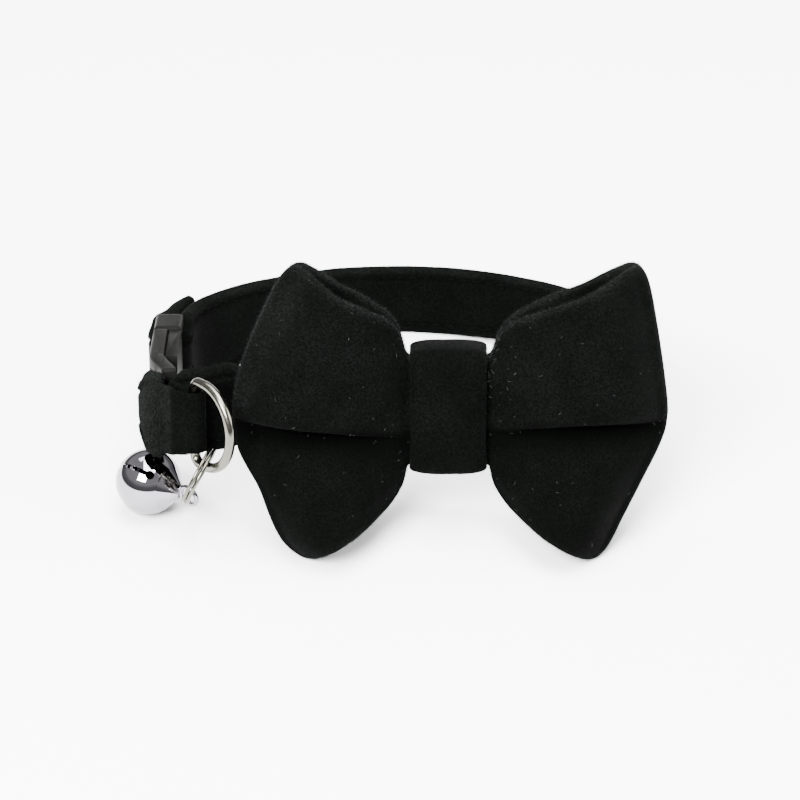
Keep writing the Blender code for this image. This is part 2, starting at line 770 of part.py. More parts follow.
def charm_places(stand):
    """World places that hang together: link on the D-ring, split ring, bell loop and bell."""
    _, base, along, half, reach, bow_start = d_ring_path()
    angle = radians(LINK_ANGLE)
    out = bow_start + (reach - bow_start) * cos(angle)
    local = base + along * out + Vector((0, 0, half * sin(angle)))
    link = stand @ local
    mean_radius = (SPLIT_RING_DIAMETER - SPLIT_RING_WIRE) / 2
    inside = D_RING_WIRE / 2 + CLEARANCE + LINK_PLAY + SPLIT_RING_WIRE / 2
    reach_down = 2 * mean_radius - inside
    radius = BELL_DIAMETER / 2
    loop_reach = radius + BELL_NECK_LENGTH + BELL_LOOP_RADIUS
    drop = link.z - radius
    lift = max(0.0, drop - LINK_DROP_SHARE * reach_down)
    axis_rise = asin(min(lift / loop_reach, 1.0))
    ring_rise = asin(min((drop - lift) / reach_down, 1.0))
    turn = radians(SPLIT_RING_AZIMUTH)
    to_link = Vector((cos(ring_rise) * cos(turn), cos(ring_rise) * sin(turn), sin(ring_rise)))
    loop = link - to_link * reach_down
    turn = radians(BELL_AXIS_AZIMUTH)
    axis = Vector((cos(axis_rise) * cos(turn), cos(axis_rise) * sin(turn), sin(axis_rise)))
    bell = loop - axis * loop_reach
    ring_centre = loop + to_link * mean_radius
    return link, to_link, ring_centre, loop, axis, bell


def coil_directions(to_link, facing):
    """Axis of the split ring's coil, and the direction its wire takes through the bell loop."""
    normal = to_link.cross(facing).normalized()
    return normal, normal.cross(to_link).normalized()


def make_split_ring(stand, facing, collection, material):
    _, to_link, centre, _, _, _ = charm_places(stand)
    mean_radius = (SPLIT_RING_DIAMETER - SPLIT_RING_WIRE) / 2
    normal, across = coil_directions(to_link, facing)
    pitch = SPLIT_RING_WIRE * COIL_PITCH_SHARE
    steps = 26
    count = round(SPLIT_RING_TURNS * steps)
    points = []
    for i in range(count + 1):
        angle = 2 * pi * i / steps + radians(COIL_START)
        lift = pitch * (i / count - 0.5) * SPLIT_RING_TURNS
        around = to_link * cos(angle) + across * sin(angle)
        points.append(centre + around * mean_radius + normal * lift)
    return wire_object("split_ring", points, SPLIT_RING_WIRE / 2, 1, False, collection, material, None)


def make_bell(stand, facing, collection, cutters, material, pellet_material):
    _, to_link, _, _, axis, centre = charm_places(stand)
    radius = BELL_DIAMETER / 2
    face = (facing - axis * facing.dot(axis)).normalized()
    third = axis.cross(face)
    turn = Matrix((third, face, axis)).transposed().to_4x4()
    place = Matrix.Translation(centre) @ turn @ Matrix.Rotation(radians(BELL_SLOT_TURN), 4, "Z")
    _, through = coil_directions(to_link, facing)
    loop_face = (through - axis * through.dot(axis)).normalized()
    loop_turn = Matrix((axis.cross(loop_face), loop_face, axis)).transposed().to_4x4()

    def ball(name, size, around, home, finish):
        mesh = bpy.data.meshes.new(name)
        shape = bmesh.new()
        bmesh.ops.create_uvsphere(shape, u_segments=around, v_segments=round(0.6 * around), radius=size)
        shape.to_mesh(mesh)
        shape.free()
        return place_mesh(name, mesh, home, finish, None)

    bell = ball("bell", radius, 28, collection, material)
    inner = ball("bell_inside", radius - BELL_WALL, 28, cutters, None)
    slot_size = (BELL_SLOT_WIDTH, 3 * radius, 2 * radius)
    slot = box_cutter("bell_slot", slot_size, (0, 0, -radius), cutters, None)
    hole_mesh = bpy.data.meshes.new("bell_hole")
    shape = bmesh.new()
    bmesh.ops.create_cone(shape, cap_ends=True, segments=12, radius1=BELL_HOLE_DIAMETER / 2,
                          radius2=BELL_HOLE_DIAMETER / 2, depth=3 * radius)
    bmesh.ops.rotate(shape, cent=(0, 0, 0), matrix=Matrix.Rotation(pi / 2, 3, "X"), verts=shape.verts)
    shape.to_mesh(hole_mesh)
    shape.free()
    hole = place_mesh("bell_hole", hole_mesh, cutters, None, None)
    loop_points = []
    for i in range(18):
        angle = 2 * pi * i / 18
        rise = radius + BELL_NECK_LENGTH + BELL_LOOP_RADIUS * (1 + sin(angle))
        loop_points.append(Vector((BELL_LOOP_RADIUS * cos(angle), 0, rise)))
    loop_wire = wire_object("bell_loop", loop_points, BELL_LOOP_WIRE / 2, 1, True, cutters, material, None)
    loop = wire_mesh(loop_wire)
    neck_mesh = bpy.data.meshes.new("bell_neck")
    shape = bmesh.new()
    neck_height = BELL_NECK_LENGTH + BELL_WALL
    bmesh.ops.create_cone(shape, cap_ends=True, segments=14, radius1=0.5 * BELL_NECK_DIAMETER,
                          radius2=0.3 * BELL_NECK_DIAMETER, depth=neck_height)
    bmesh.ops.translate(shape, vec=(0, 0, radius - BELL_WALL / 2 + neck_height / 2), verts=shape.verts)
    shape.to_mesh(neck_mesh)
    shape.free()
    neck = place_mesh("bell_neck", neck_mesh, cutters, None, None)
    for piece in (bell, inner, slot, hole, neck):
        piece.matrix_world = place
    loop.matrix_world = Matrix.Translation(centre) @ loop_turn
    cut(bell, neck, "UNION")
    cut(bell, loop, "UNION")
    for cutter in (inner, slot, hole):
        cut(bell, cutter)
    for cutter in (inner, hole, loop, neck):
        hide_cutter(cutter)

    pellet = ball("bell_pellet", PELLET_DIAMETER / 2, 14, collection, pellet_material)
    fall = radius - BELL_WALL - CLEARANCE - PELLET_DIAMETER / 2
    pellet.location = centre - Vector((0, 0, fall))
    return bell, pellet


# Stance

def lowest_tip():
    """Lowest outer point of the bow in the collar's frame."""
    lean = Matrix.Rotation(-radians(BOW_LEAN), 4, "X")
    tips = []
    for edge, side in ((LEFT_EDGE, -1), (RIGHT_EDGE, 1)):
        for layer in (-1, 1):
            tip = wing_point(edge, side, 1.0, -1.0, layer)
            tips.append(bow_home() @ lean @ tip)
    return min(tips, key=lambda tip: tip.z)


def bow_home():
    """Place of the bow's frame in the collar's frame, before it leans."""
    return Matrix.Translation((0, bow_plane(), BOW_RISE))


def stance():
    """Lean of the collar and the lift that puts its tips and the back of the strap on z = 0."""
    tip = lowest_tip()
    heel_y = LOOP_BACK_DEPTH + STRAP_THICKNESS / 2 - STRAP_EDGE_RADIUS
    heel_z = -STRAP_WIDTH / 2
    lean = atan2(heel_z - tip.z, heel_y - tip.y)
    lift = heel_y * sin(lean) - heel_z * cos(lean)
    return lean, lift - REST_FLATTENING


def main():
    clear_scene()
    collection = new_collection("bow_tie_collar")
    cutters = new_collection("cutters")
    velvet = new_material("velvet", VELVET, 0.95, 0.0)
    plastic = new_material("gloss_plastic", GLOSS_BLACK, 0.25, 0.0)
    nickel = new_material("nickel", NICKEL, 0.22, 1.0)
    chrome = new_material("chrome", CHROME, 0.10, 1.0)

    lean, lift = stance()
    world = Matrix.Translation((STAND_X, STAND_Y, lift)) @ Matrix.Rotation(-lean, 4, "X")
    stand = bpy.data.objects.new("collar_frame", None)
    collection.objects.link(stand)
    stand.matrix_world = world
    bow_frame = bpy.data.objects.new("bow_frame", None)
    collection.objects.link(bow_frame)
    bow_frame.parent = stand
    bow_frame.matrix_local = bow_home() @ Matrix.Rotation(-radians(BOW_LEAN), 4, "X")
    bpy.context.view_layer.update()

    strap = make_strap(collection, velvet, stand)
    make_buckle(collection, cutters, plastic, stand)
    bow = make_bow(collection, velvet, bow_frame)
    make_knot(collection, velvet, bow_frame)
    make_d_ring(collection, nickel, stand)
    make_keeper(collection, velvet, stand)
    rise = radians(CHARM_FACING_RISE)
    facing = Vector((0, -cos(rise), sin(rise)))
    make_split_ring(world, facing, collection, nickel)
    make_bell(world, facing, collection, cutters, chrome, nickel)

    floor_size = 6 * LOOP_HALF_WIDTH
    floor = box_cutter("floor", (floor_size, floor_size, floor_size), (0, 0, -floor_size / 2), cutters, None)
    for piece in (bow, strap):
        cut(piece, floor)


main()
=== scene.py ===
# %% [markdown]
# # A velvet bow tie collar for a cat or a small dog
# The collar stands on a pale table, leaning back on the lower corners of its bow and on the back of
# its strap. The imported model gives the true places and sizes. This script lays soft, detailed pieces
# over it: padded velvet, thread, moulded plastic, nickel wire and a chrome bell.
# The load comes first, because every later piece takes its place from the loaded frame.

# %% Load the frame
import random
from math import asin, atan2, cos, pi, radians, sin

import bmesh
import bpy
from mathutils import Matrix, Vector, noise


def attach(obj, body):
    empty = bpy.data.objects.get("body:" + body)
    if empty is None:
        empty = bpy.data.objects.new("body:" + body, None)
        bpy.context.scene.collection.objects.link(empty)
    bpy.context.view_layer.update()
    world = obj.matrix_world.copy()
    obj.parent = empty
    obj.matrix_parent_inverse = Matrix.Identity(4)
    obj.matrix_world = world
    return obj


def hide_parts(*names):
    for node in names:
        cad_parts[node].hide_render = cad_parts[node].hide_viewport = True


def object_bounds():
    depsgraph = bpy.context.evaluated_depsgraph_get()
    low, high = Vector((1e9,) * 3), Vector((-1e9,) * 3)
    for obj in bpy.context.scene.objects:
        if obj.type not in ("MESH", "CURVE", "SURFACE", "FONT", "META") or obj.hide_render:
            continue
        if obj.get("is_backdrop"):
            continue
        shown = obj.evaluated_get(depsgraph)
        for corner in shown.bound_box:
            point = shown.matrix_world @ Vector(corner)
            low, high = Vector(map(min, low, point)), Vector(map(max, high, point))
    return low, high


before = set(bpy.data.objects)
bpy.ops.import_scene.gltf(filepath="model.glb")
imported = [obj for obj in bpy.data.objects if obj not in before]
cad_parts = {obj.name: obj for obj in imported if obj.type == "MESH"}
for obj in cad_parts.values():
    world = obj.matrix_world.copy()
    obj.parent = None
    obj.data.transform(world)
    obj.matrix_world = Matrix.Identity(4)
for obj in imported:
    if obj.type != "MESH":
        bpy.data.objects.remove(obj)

cad_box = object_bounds()
print("CAD nodes:", sorted(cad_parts))

# %% [markdown]
# ## Small helpers
# Objects, blends between two values and node trees are needed all through the script. In a node tree,
# feed gives each named input either a constant or a link, so a node stands together with what it takes.

# %% Helpers for objects, values and nodes
def add_object(name, data):
    obj = bpy.data.objects.new(name, data)
    bpy.context.scene.collection.objects.link(obj)
    return obj


def look_along(obj, direction):
    """Turns a lamp or the camera to look along a direction."""
    obj.rotation_mode = "QUATERNION"
    obj.rotation_quaternion = direction.to_track_quat("-Z", "Y")


def lerp(a, b, share):
    return a + (b - a) * share


def smooth(share):
    share = min(max(share, 0.0), 1.0)
    return share * share * (3.0 - 2.0 * share)


def feed(tree, node, values):
    """Gives inputs of a node, by name or number, a constant or the output of another node."""
    for name, value in values.items():
        if isinstance(value, bpy.types.NodeSocket):
            tree.links.new(value, node.inputs[name])
        else:
            node.inputs[name].default_value = value


def add_node(tree, kind, values=None, **settings):
    node = tree.nodes.new(kind)
    for key, value in settings.items():
        setattr(node, key, value)
    feed(tree, node, values or {})
    return node


def add_math(tree, operation, first, second):
    return add_node(tree, "ShaderNodeMath", {0: first, 1: second}, operation=operation).outputs[0]


def make_group(name, kind, inputs, outputs):
    """A new node group with named sockets: rows of name, type and default, and rows of name and type."""
    group = bpy.data.node_groups.new(name, kind)
    for label, socket, value in inputs:
        made = group.interface.new_socket(label, in_out="INPUT", socket_type="NodeSocket" + socket)
        if value is not None:
            made.default_value = value
    for label, socket in outputs:
        group.interface.new_socket(label, in_out="OUTPUT", socket_type="NodeSocket" + socket)
    return group, group.nodes.new("NodeGroupInput").outputs, group.nodes.new("NodeGroupOutput")


# %% [markdown]
# ## Camera
# The photograph looks down on the collar at about 35 degrees, from straight in front and from far
# enough for the wings to look almost parallel. A long lens on a distant camera gives that flat view.
# The camera's turn comes from the direction to the aim point, so no angle is typed twice.

# %% Place the camera
CAMERA_RISE = radians(35.0)
CAMERA_DISTANCE = 0.650
CAMERA_AIM = Vector((0.0014, -0.0268, 0.0282))

camera = add_object("camera", bpy.data.cameras.new("camera"))
camera.data.sensor_width = 36.0
camera.data.lens = 158.85
camera.data.clip_start = 0.01
camera.data.clip_end = 10.0
camera_back = Vector((0, -cos(CAMERA_RISE), sin(CAMERA_RISE)))
camera.location = CAMERA_AIM + camera_back * CAMERA_DISTANCE
look_along(camera, -camera_back)
bpy.context.scene.camera = camera
print("camera at", tuple(round(v, 3) for v in camera.location))

# %% [markdown]
# ## Light and floor
# Black velvet shows its form only where light grazes it. Broad lights above and in front model the
# panels, and a weak one behind draws the pale rims. Metal needs bright shapes to reflect, and the
# same large soft lights give them. The floor is plain and almost white.

# %% Lights, sky and floor
LIGHTS = (
    # name, place, aim, width, height, watts
    ("overhead", (0.05, 0.0, 0.80), (0.0, 0.0, 0.0), 0.70, 0.55, 36.0),
    ("rim", (-0.15, 0.55, 0.80), (0.0, 0.0, 0.02), 0.60, 0.30, 6.0),
    ("front", (-0.30, -0.55, 0.60), (0.0, 0.0, 0.0), 0.45, 0.35, 44.0),
    ("side", (0.70, -0.10, 0.35), (0.0, 0.0, 0.02), 0.40, 0.40, 10.0),
)


def add_light(name, place, aim, width, height, watts):
    lamp = bpy.data.lights.new(name, "AREA")
    lamp.shape = "RECTANGLE"
    lamp.size = width
    lamp.size_y = height
    lamp.energy = watts
    light = add_object(name, lamp)
    light.location = place
    look_along(light, Vector(aim) - Vector(place))


for row in LIGHTS:
    add_light(*row)

# A pale room with a darker band at eye height, which polished metal shows as its dark stripe.
SKY_BANDS = ((0.00, 0.85), (0.48, 0.80), (0.52, 0.30), (0.62, 0.42), (0.70, 1.0), (1.00, 1.0))
world = bpy.data.worlds.new("pale_room")
world.use_nodes = True
sky = world.node_tree
sky_place = add_node(sky, "ShaderNodeTexCoord").outputs["Generated"]
sky_split = add_node(sky, "ShaderNodeSeparateXYZ", {"Vector": sky_place})
sky_height = add_node(sky, "ShaderNodeMapRange", {"Value": sky_split.outputs["Z"], "From Min": -1.0})
sky_bands = add_node(sky, "ShaderNodeValToRGB", {"Fac": sky_height.outputs["Result"]})
while len(sky_bands.color_ramp.elements) < len(SKY_BANDS):
    sky_bands.color_ramp.elements.new(0.5)
for stop, (place, level) in zip(sky_bands.color_ramp.elements, SKY_BANDS):
    stop.position = place
    stop.color = (level, level, level * 1.01, 1.0)
feed(sky, sky.nodes["Background"], {"Color": sky_bands.outputs["Color"], "Strength": 0.9})
bpy.context.scene.world = world
print("lights:", len(LIGHTS))

# %% [markdown]
# ## Materials: shared effects
# Two effects are used by more than one material, so each is a node group that is built once. The
# first is the pile of velvet: a short nap that lies in brushed patches and has a fine grain. The
# second is handling wear: faint scratches and a little dust on plastic and metal. The groups put out
# masks and heights only, and the shader itself stays in each material.

# %% The pile of velvet
def add_masks(group, end, *rows):
    """Puts out, for each row, a texture's values between low and high spread over 0 to 1."""
    for name, texture, low, high in rows:
        mask = add_node(group, "ShaderNodeMapRange",
                        {"Value": texture.outputs["Fac"], "From Min": low, "From Max": high})
        feed(group, end, {name: mask.outputs["Result"]})


def make_pile_group():
    group, start, end = make_group(
        "velvet_pile", "ShaderNodeTree", [("Patch scale", "Float", 130.0), ("Grain scale", "Float", 2600.0)],
        [("Patches", "Float"), ("Grain", "Float"), ("Height", "Float")])
    place = add_node(group, "ShaderNodeTexCoord").outputs["Object"]
    patches = add_node(group, "ShaderNodeTexNoise",
                       {"Vector": place, "Scale": start["Patch scale"], "Detail": 3.0})
    grain = add_node(group, "ShaderNodeTexNoise",
                     {"Vector": place, "Scale": start["Grain scale"], "Detail": 2.0, "Roughness": 0.7})
    patch_height = add_math(group, "MULTIPLY", patches.outputs["Fac"], 0.8)
    feed(group, end, {"Height": add_math(group, "ADD", grain.outputs["Fac"], patch_height)})
    add_masks(group, end, ("Patches", patches, 0.10, 0.90), ("Grain", grain, 0.40, 0.62))
    return group


# %% Wear on hard pieces
def make_wear_group():
    group, start, end = make_group(
        "handling_wear", "ShaderNodeTree",
        [("Scratch scale", "Float", 900.0), ("Dust scale", "Float", 260.0)],
        [("Scratches", "Float"), ("Dust", "Float")])
    place = add_node(group, "ShaderNodeTexCoord").outputs["Object"]
    stretch = add_node(group, "ShaderNodeMapping",
                       {"Vector": place, "Scale": (1.0, 0.12, 1.0), "Rotation": (0.4, 0.3, 0.8)})
    lines = add_node(group, "ShaderNodeTexNoise",
                     {"Vector": stretch.outputs["Vector"], "Scale": start["Scratch scale"], "Detail": 4.0})
    dust = add_node(group, "ShaderNodeTexNoise",
                    {"Vector": place, "Scale": start["Dust scale"], "Detail": 6.0})
    add_masks(group, end, ("Scratches", lines, 0.58, 0.74), ("Dust", dust, 0.50, 0.72))
    return group


PILE = make_pile_group()
WEAR = make_wear_group()
print("node groups:", PILE.name, WEAR.name)

# %% [markdown]
# ## Velvet
# Velvet is a ground cloth with a dense short pile. It swallows light that meets it head on and
# returns a little of what grazes it, so it looks black on the panels and grey on the rims. The base
# colour is mixed between two near-blacks by the brushed patches and the grain, which are the cloth's
# own, and by painted light and shade that each piece carries as an attribute: painted shade in folds,
# creases and on the bow's lower panels, painted highlights along rims and lit edges. A trace of sheen
# adds the grazing light. A paler copy of the same cloth, a painted highlight, colours the rim fuzz and the
# glinting fibres.

# %% Velvet material
# The cloth goes from the deep colour towards the paler one where painted light and the cloth's own mottling
# add up.
VELVET_DEEP = (0.0002, 0.0003, 0.0002, 1.0)
VELVET_MOTTLE_AND_LIGHT = (0.0046, 0.0054, 0.0048, 1.0)
# Colour of the paler velvet copy, a painted highlight.
FUZZ_HIGHLIGHT = (0.050, 0.053, 0.052, 1.0)
VELVET_CONTRAST = 0.30


def start_material(name, constants):
    """A material and its shader, with constants set straight on the shader's sockets."""
    material = bpy.data.materials.new(name)
    material.use_nodes = True
    shader = material.node_tree.nodes["Principled BSDF"]
    feed(material.node_tree, shader, constants)
    return material, material.node_tree, shader


def add_bump(tree, shader, height, strength, distance):
    bump = add_node(tree, "ShaderNodeBump", {"Height": height, "Strength": strength, "Distance": distance})
    feed(tree, shader, {"Normal": bump.outputs["Normal"]})


def mix_colours(tree, factor, first, second):
    mix = add_node(tree, "ShaderNodeMix", {"Factor": factor, "A": first, "B": second}, data_type="RGBA")
    return mix.outputs["Result"]


def make_velvet(name, sheen, mottle_and_light_colour):
    material, tree, shader = start_material(
        name, {"Roughness": 0.92, "Sheen Weight": sheen, "Sheen Roughness": 0.35,
               "Sheen Tint": (0.86, 0.88, 0.88, 1.0), "Specular IOR Level": 0.01})
    pile = add_node(tree, "ShaderNodeGroup", node_tree=PILE)
    painted_light = add_node(tree, "ShaderNodeAttribute", attribute_name="painted_light")
    patches = add_math(tree, "ADD", pile.outputs["Patches"], 0.25)
    grain = add_math(tree, "ADD", pile.outputs["Grain"], 0.3)
    # The painted light and shade scale the cloth's own patches and grain.
    tone = add_math(tree, "MULTIPLY", add_math(tree, "MULTIPLY", painted_light.outputs["Fac"], patches), grain)
    tone = add_math(tree, "MULTIPLY", tone, VELVET_CONTRAST)
    feed(tree, shader, {"Base Color": mix_colours(tree, tone, VELVET_DEEP, mottle_and_light_colour)})
    add_bump(tree, shader, pile.outputs["Height"], 0.55, 0.00025)
    return material


velvet = make_velvet("black_velvet", 0.006, VELVET_MOTTLE_AND_LIGHT)
# The paler copy of the velvet is a painted highlight, for fibres that catch the light.
velvet_highlight_copy = make_velvet("velvet_highlight_copy", 0.020, FUZZ_HIGHLIGHT)
print("materials:", velvet.name, velvet_highlight_copy.name)

# %% [markdown]
# ## Thread, plastic and metal
# The thread is black satin, smoother than the pile. The buckle is satin moulded plastic that looks
# dark grey because it mirrors the pale room. The ring wire is nickel, a little yellow, and the bell
# is chrome. Wear changes their roughness by small amounts only, so they still look new.

# %% Hard materials
def make_hard(name, clean, dusty, smoothest, roughest, bump, specular, metallic):
    """Dust takes the colour from clean to dusty, and scratches take the finish to its roughest."""
    material, tree, shader = start_material(name, {"Specular IOR Level": specular, "Metallic": metallic})
    wear = add_node(tree, "ShaderNodeGroup", node_tree=WEAR)
    scratches = wear.outputs["Scratches"]
    rough = add_math(tree, "ADD", add_math(tree, "MULTIPLY", scratches, roughest - smoothest), smoothest)
    colour = mix_colours(tree, wear.outputs["Dust"], (*clean, 1.0), (*dusty, 1.0))
    feed(tree, shader, {"Base Color": colour, "Roughness": rough})
    add_bump(tree, shader, scratches, bump, 0.00002)
    return material


HARD = {
    # clean and dusty colours, smoothest and roughest finish, bump, specular level, metallic
    "moulded_plastic": ((0.0032, 0.0032, 0.0029), (0.0050, 0.0050, 0.0045), 0.42, 0.54, 0.15, 0.012, 0.0),
    "nickel_plate": ((0.105, 0.103, 0.086), (0.080, 0.078, 0.065), 0.20, 0.34, 0.10, 0.5, 1.0),
    "chrome_plate": ((0.23, 0.22, 0.24), (0.19, 0.18, 0.20), 0.03, 0.09, 0.05, 0.5, 1.0),
    "sewing_thread": ((0.0005, 0.0005, 0.0006), (0.0010, 0.0010, 0.0010), 0.50, 0.65, 0.30, 0.02, 0.0),
    "pale_lint": ((0.034, 0.035, 0.034), (0.022, 0.022, 0.022), 0.80, 0.95, 0.10, 0.1, 0.0),
    "table_top": ((0.93, 0.93, 0.93), (0.92, 0.92, 0.92), 0.75, 0.80, 0.02, 0.5, 0.0),
}
plastic, nickel, chrome, thread, lint, table_top = (make_hard(name, *row) for name, row in HARD.items())

floor_mesh = bpy.data.meshes.new("floor")
floor_mesh.from_pydata([(-3, -3, 0), (3, -3, 0), (3, 3, 0), (-3, 3, 0)], [], [(0, 1, 2, 3)])
floor_mesh.materials.append(table_top)
add_object("floor", floor_mesh)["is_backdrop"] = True
print("materials:", [m.name for m in bpy.data.materials])

# %% [markdown]
# ## The collar's own frame
# Everything on the collar is easier to place before it leans. The collar frame has its x to the
# right, y to the back of the neck and z up the strap's width. One matrix leans it back onto the
# table, and a second one carries the bow, which leans a little more. Each piece is made in one of the
# two frames and its mesh is then moved by the matrix, so its object stays at the origin.

# %% Frames of the collar and the bow
COLLAR_PLACE = Vector((0.0104, -0.0048, 0.0176148))
COLLAR_LEAN = radians(13.767775)
BOW_PLACE = Vector((0.0, -0.0178, 0.0020))
BOW_TILT = radians(4.0)
COLLAR = Matrix.Translation(COLLAR_PLACE) @ Matrix.Rotation(-COLLAR_LEAN, 4, "X")
BOW = COLLAR @ Matrix.Translation(BOW_PLACE) @ Matrix.Rotation(-BOW_TILT, 4, "X")
inside_collar = COLLAR.inverted()
inside_bow = BOW.inverted()


def finish_piece(obj, material, replaces=()):
    """Gives a piece its finish, puts it on the collar's body and hides the plain nodes under it."""
    obj.data.materials.clear()
    obj.data.materials.append(material)
    obj.data.shade_smooth()
    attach(obj, "root")
    if replaces:
        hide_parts(*replaces)
    print(f"{obj.name}: {len(obj.data.polygons)} faces")
    return obj


def new_piece(name, verts, faces, place):
    """A piece whose points are moved from the collar's or the bow's frame to the world."""
    mesh = bpy.data.meshes.new(name)
    mesh.from_pydata([tuple(place @ Vector(v)) for v in verts], [], faces)
    mesh.validate()
    return add_object(name, mesh)


def edit_mesh(obj, change):
    """Changes a piece's mesh by a function of its bmesh."""
    shape = bmesh.new()
    shape.from_mesh(obj.data)
    change(shape)
    shape.to_mesh(obj.data)
    shape.free()


def outward_faces(obj):
    edit_mesh(obj, lambda shape: bmesh.ops.recalc_face_normals(shape, faces=shape.faces))


def keep_modifiers(obj):
    """Turns the modifiers' result into the piece's own mesh."""
    mesh = bpy.data.meshes.new_from_object(obj.evaluated_get(bpy.context.evaluated_depsgraph_get()))
    obj.modifiers.clear()
    obj.data = mesh


def apply_modifier(obj, kind, **settings):
    modifier = obj.modifiers.new(kind.title(), kind)
    for key, value in settings.items():
        setattr(modifier, key, value)
    keep_modifiers(obj)


# %% [markdown]
# ## Padded cloth as a wall with round rims
# Strap, bow, knot and keeper are all cloth sewn into a flat tube and pressed: thick, soft, and round
# at the rims. One function makes that form from a grid of points in the middle of the wall. It walks
# up the outer side, over the rim, down the inner side and back over the other rim. The thickness may
# change from place to place, which is how a row of stitches pinches the cloth.

# %% Wall from a middle surface
RIM_STEPS = 4


def grid_normals(grid, closed):
    """Unit normals of a grid of points, from its neighbours along and across."""
    normals = []
    count = len(grid)
    for i in range(count):
        ahead = grid[(i + 1) % count] if closed else grid[min(i + 1, count - 1)]
        behind = grid[i - 1] if closed or i > 0 else grid[0]
        row = []
        for j in range(len(grid[i])):
            up = grid[i][min(j + 1, len(grid[i]) - 1)] - grid[i][max(j - 1, 0)]
            row.append((ahead[j] - behind[j]).cross(up).normalized())
        normals.append(row)
    return normals


def wall_points(grid, normals, i, thickness):
    """One closed section of the wall: outer side, top rim, inner side, bottom rim."""
    column = grid[i]
    last = len(column) - 1
    points = []
    for side, order in ((1, range(last + 1)), (-1, range(last, -1, -1))):
        for j in order:
            points.append(column[j] + normals[i][j] * (side * thickness(i, j) / 2))
        j = last if side > 0 else 0
        inner = column[last - 1] if side > 0 else column[1]
        out = (column[j] - inner).normalized()
        for k in range(1, RIM_STEPS):
            angle = pi * k / RIM_STEPS
            half = thickness(i, j) / 2
            points.append(column[j] + normals[i][j] * (side * cos(angle) * half) + out * (sin(angle) * half))
    return points


def padded_wall(name, grid, thickness, closed, place):
    """A closed padded wall round a grid of middle points, with its ends capped when it is open."""
    normals = grid_normals(grid, closed)
    rings = [wall_points(grid, normals, i, thickness) for i in range(len(grid))]
    size = len(rings[0])
    faces = []
    for i in range(len(rings) if closed else len(rings) - 1):
        j = (i + 1) % len(rings)
        for k in range(size):
            m = (k + 1) % size
            faces.append((i * size + k, j * size + k, j * size + m, i * size + m))
    if not closed:
        faces.append(tuple(range(size)))
        faces.append(tuple(range(len(rings) * size - 1, (len(rings) - 1) * size - 1, -1)))
    obj = new_piece(name, [p for ring in rings for p in ring], faces, place)
    outward_faces(obj)
    return obj


def set_painted_light(obj, value):
    """Stores the painted light and shade at each point, from a function of its place in the world."""
    layer = obj.data.attributes.get("painted_light") or obj.data.attributes.new("painted_light", "FLOAT", "POINT")
    for vertex, item in zip(obj.data.vertices, layer.data):
        item.value = value(vertex.co)


def paint_end_highlight(obj, points, value):
    """Paints a highlight at a cut end, whatever is under it."""
    layer = obj.data.attributes["painted_light"]
    for k in points:
        layer.data[k].value = value


def paint_rim_highlight(obj, columns, rows, amount):
    """Adds a painted highlight along a wall's two rims."""
    size = 2 * rows + 2 * (RIM_STEPS - 1)
    top = rows + (RIM_STEPS - 2) / 2
    layer = obj.data.attributes["painted_light"]
    for i in range(columns):
        for k in range(size):
            away = min(abs(k - top), abs(k - top - size / 2), abs(k - top + size / 2))
            layer.data[i * size + k].value += amount * smooth(1.0 - away / 4.0)


def rest_on_table(obj):
    """Flattens what would press into the table."""
    for vertex in obj.data.vertices:
        vertex.co.z = max(vertex.co.z, 0.00002)


# %% [markdown]
# ## Route of the strap
# The strap leaves the front bar of the buckle, turns behind the bow, goes round the neck and comes
# back to the rear bar. At each bar its end folds back on the outside and is sewn down. The route is
# built from a few named points with smooth curves between them, as flat points in plan.

# %% Curves in plan
def bezier(p0, p1, p2, p3, steps):
    points = []
    for i in range(steps + 1):
        t = i / steps
        s = 1 - t
        points.append(s**3 * p0 + 3 * s * s * t * p1 + 3 * s * t * t * p2 + t**3 * p3)
    return points


def arc(centre, radius_x, radius_y, start, end, steps):
    angles = [radians(lerp(start, end, i / steps)) for i in range(steps + 1)]
    return [centre + Vector((radius_x * cos(a), radius_y * sin(a))) for a in angles]


def lengths_along(points):
    total = [0.0]
    for a, b in zip(points, points[1:]):
        total.append(total[-1] + (b - a).length)
    return total


def point_at(points, distance):
    """Point and direction at a distance along a run of points."""
    total = lengths_along(points)
    for i in range(len(points) - 1):
        if distance <= total[i + 1] or i == len(points) - 2:
            step = points[i + 1] - points[i]
            return points[i] + step * ((distance - total[i]) / step.length), step.normalized()


def evenly(points, spacing):
    """The same run with points at an even spacing."""
    total = lengths_along(points)
    count = max(2, round(total[-1] / spacing))
    made = []
    k = 0
    for i in range(count + 1):
        distance = total[-1] * i / count
        while k < len(points) - 2 and total[k + 1] < distance:
            k += 1
        made.append(points[k].lerp(points[k + 1], (distance - total[k]) / (total[k + 1] - total[k])))
    return made


def outward(direction):
    return Vector((direction.y, -direction.x))


# %% Main stretch and folded ends
STRAP_WIDTH = 0.0142
STRAP_END_WIDTH = 0.0104
STRAP_THICKNESS = 0.0030
LOOP_CENTRE = Vector((-0.0093, 0))
LOOP_HALF = Vector((0.0463, 0.0460))
LOOP_FRONT = -0.0140
BACK_ARC_END = 126
FRONT_LEFT_X = -0.0400
FRONT_RIGHT_X = 0.0190
CORNER_BEND = Vector((0.0, 0.0045))
LEFT_BEND = Vector((0.0066, 0.0036))
RIGHT_BEND_SHARE = 0.62
BACK_LEAVE_SHARE = 0.42
BACK_ARRIVE_SHARE = 0.36
FRONT_TAIL = 0.0024
REAR_TAIL = 0.0120
BUCKLE_X = -0.0537
BUCKLE_FRONT = -0.0152
BUCKLE_REAR = 0.0158
BAR = 0.0011
BAR_STEPS = 14
GAP = 0.0003
TURN = BAR + GAP + STRAP_THICKNESS / 2
front_bar = Vector((BUCKLE_X, BUCKLE_FRONT + BAR))
rear_bar = Vector((BUCKLE_X, BUCKLE_REAR - BAR))


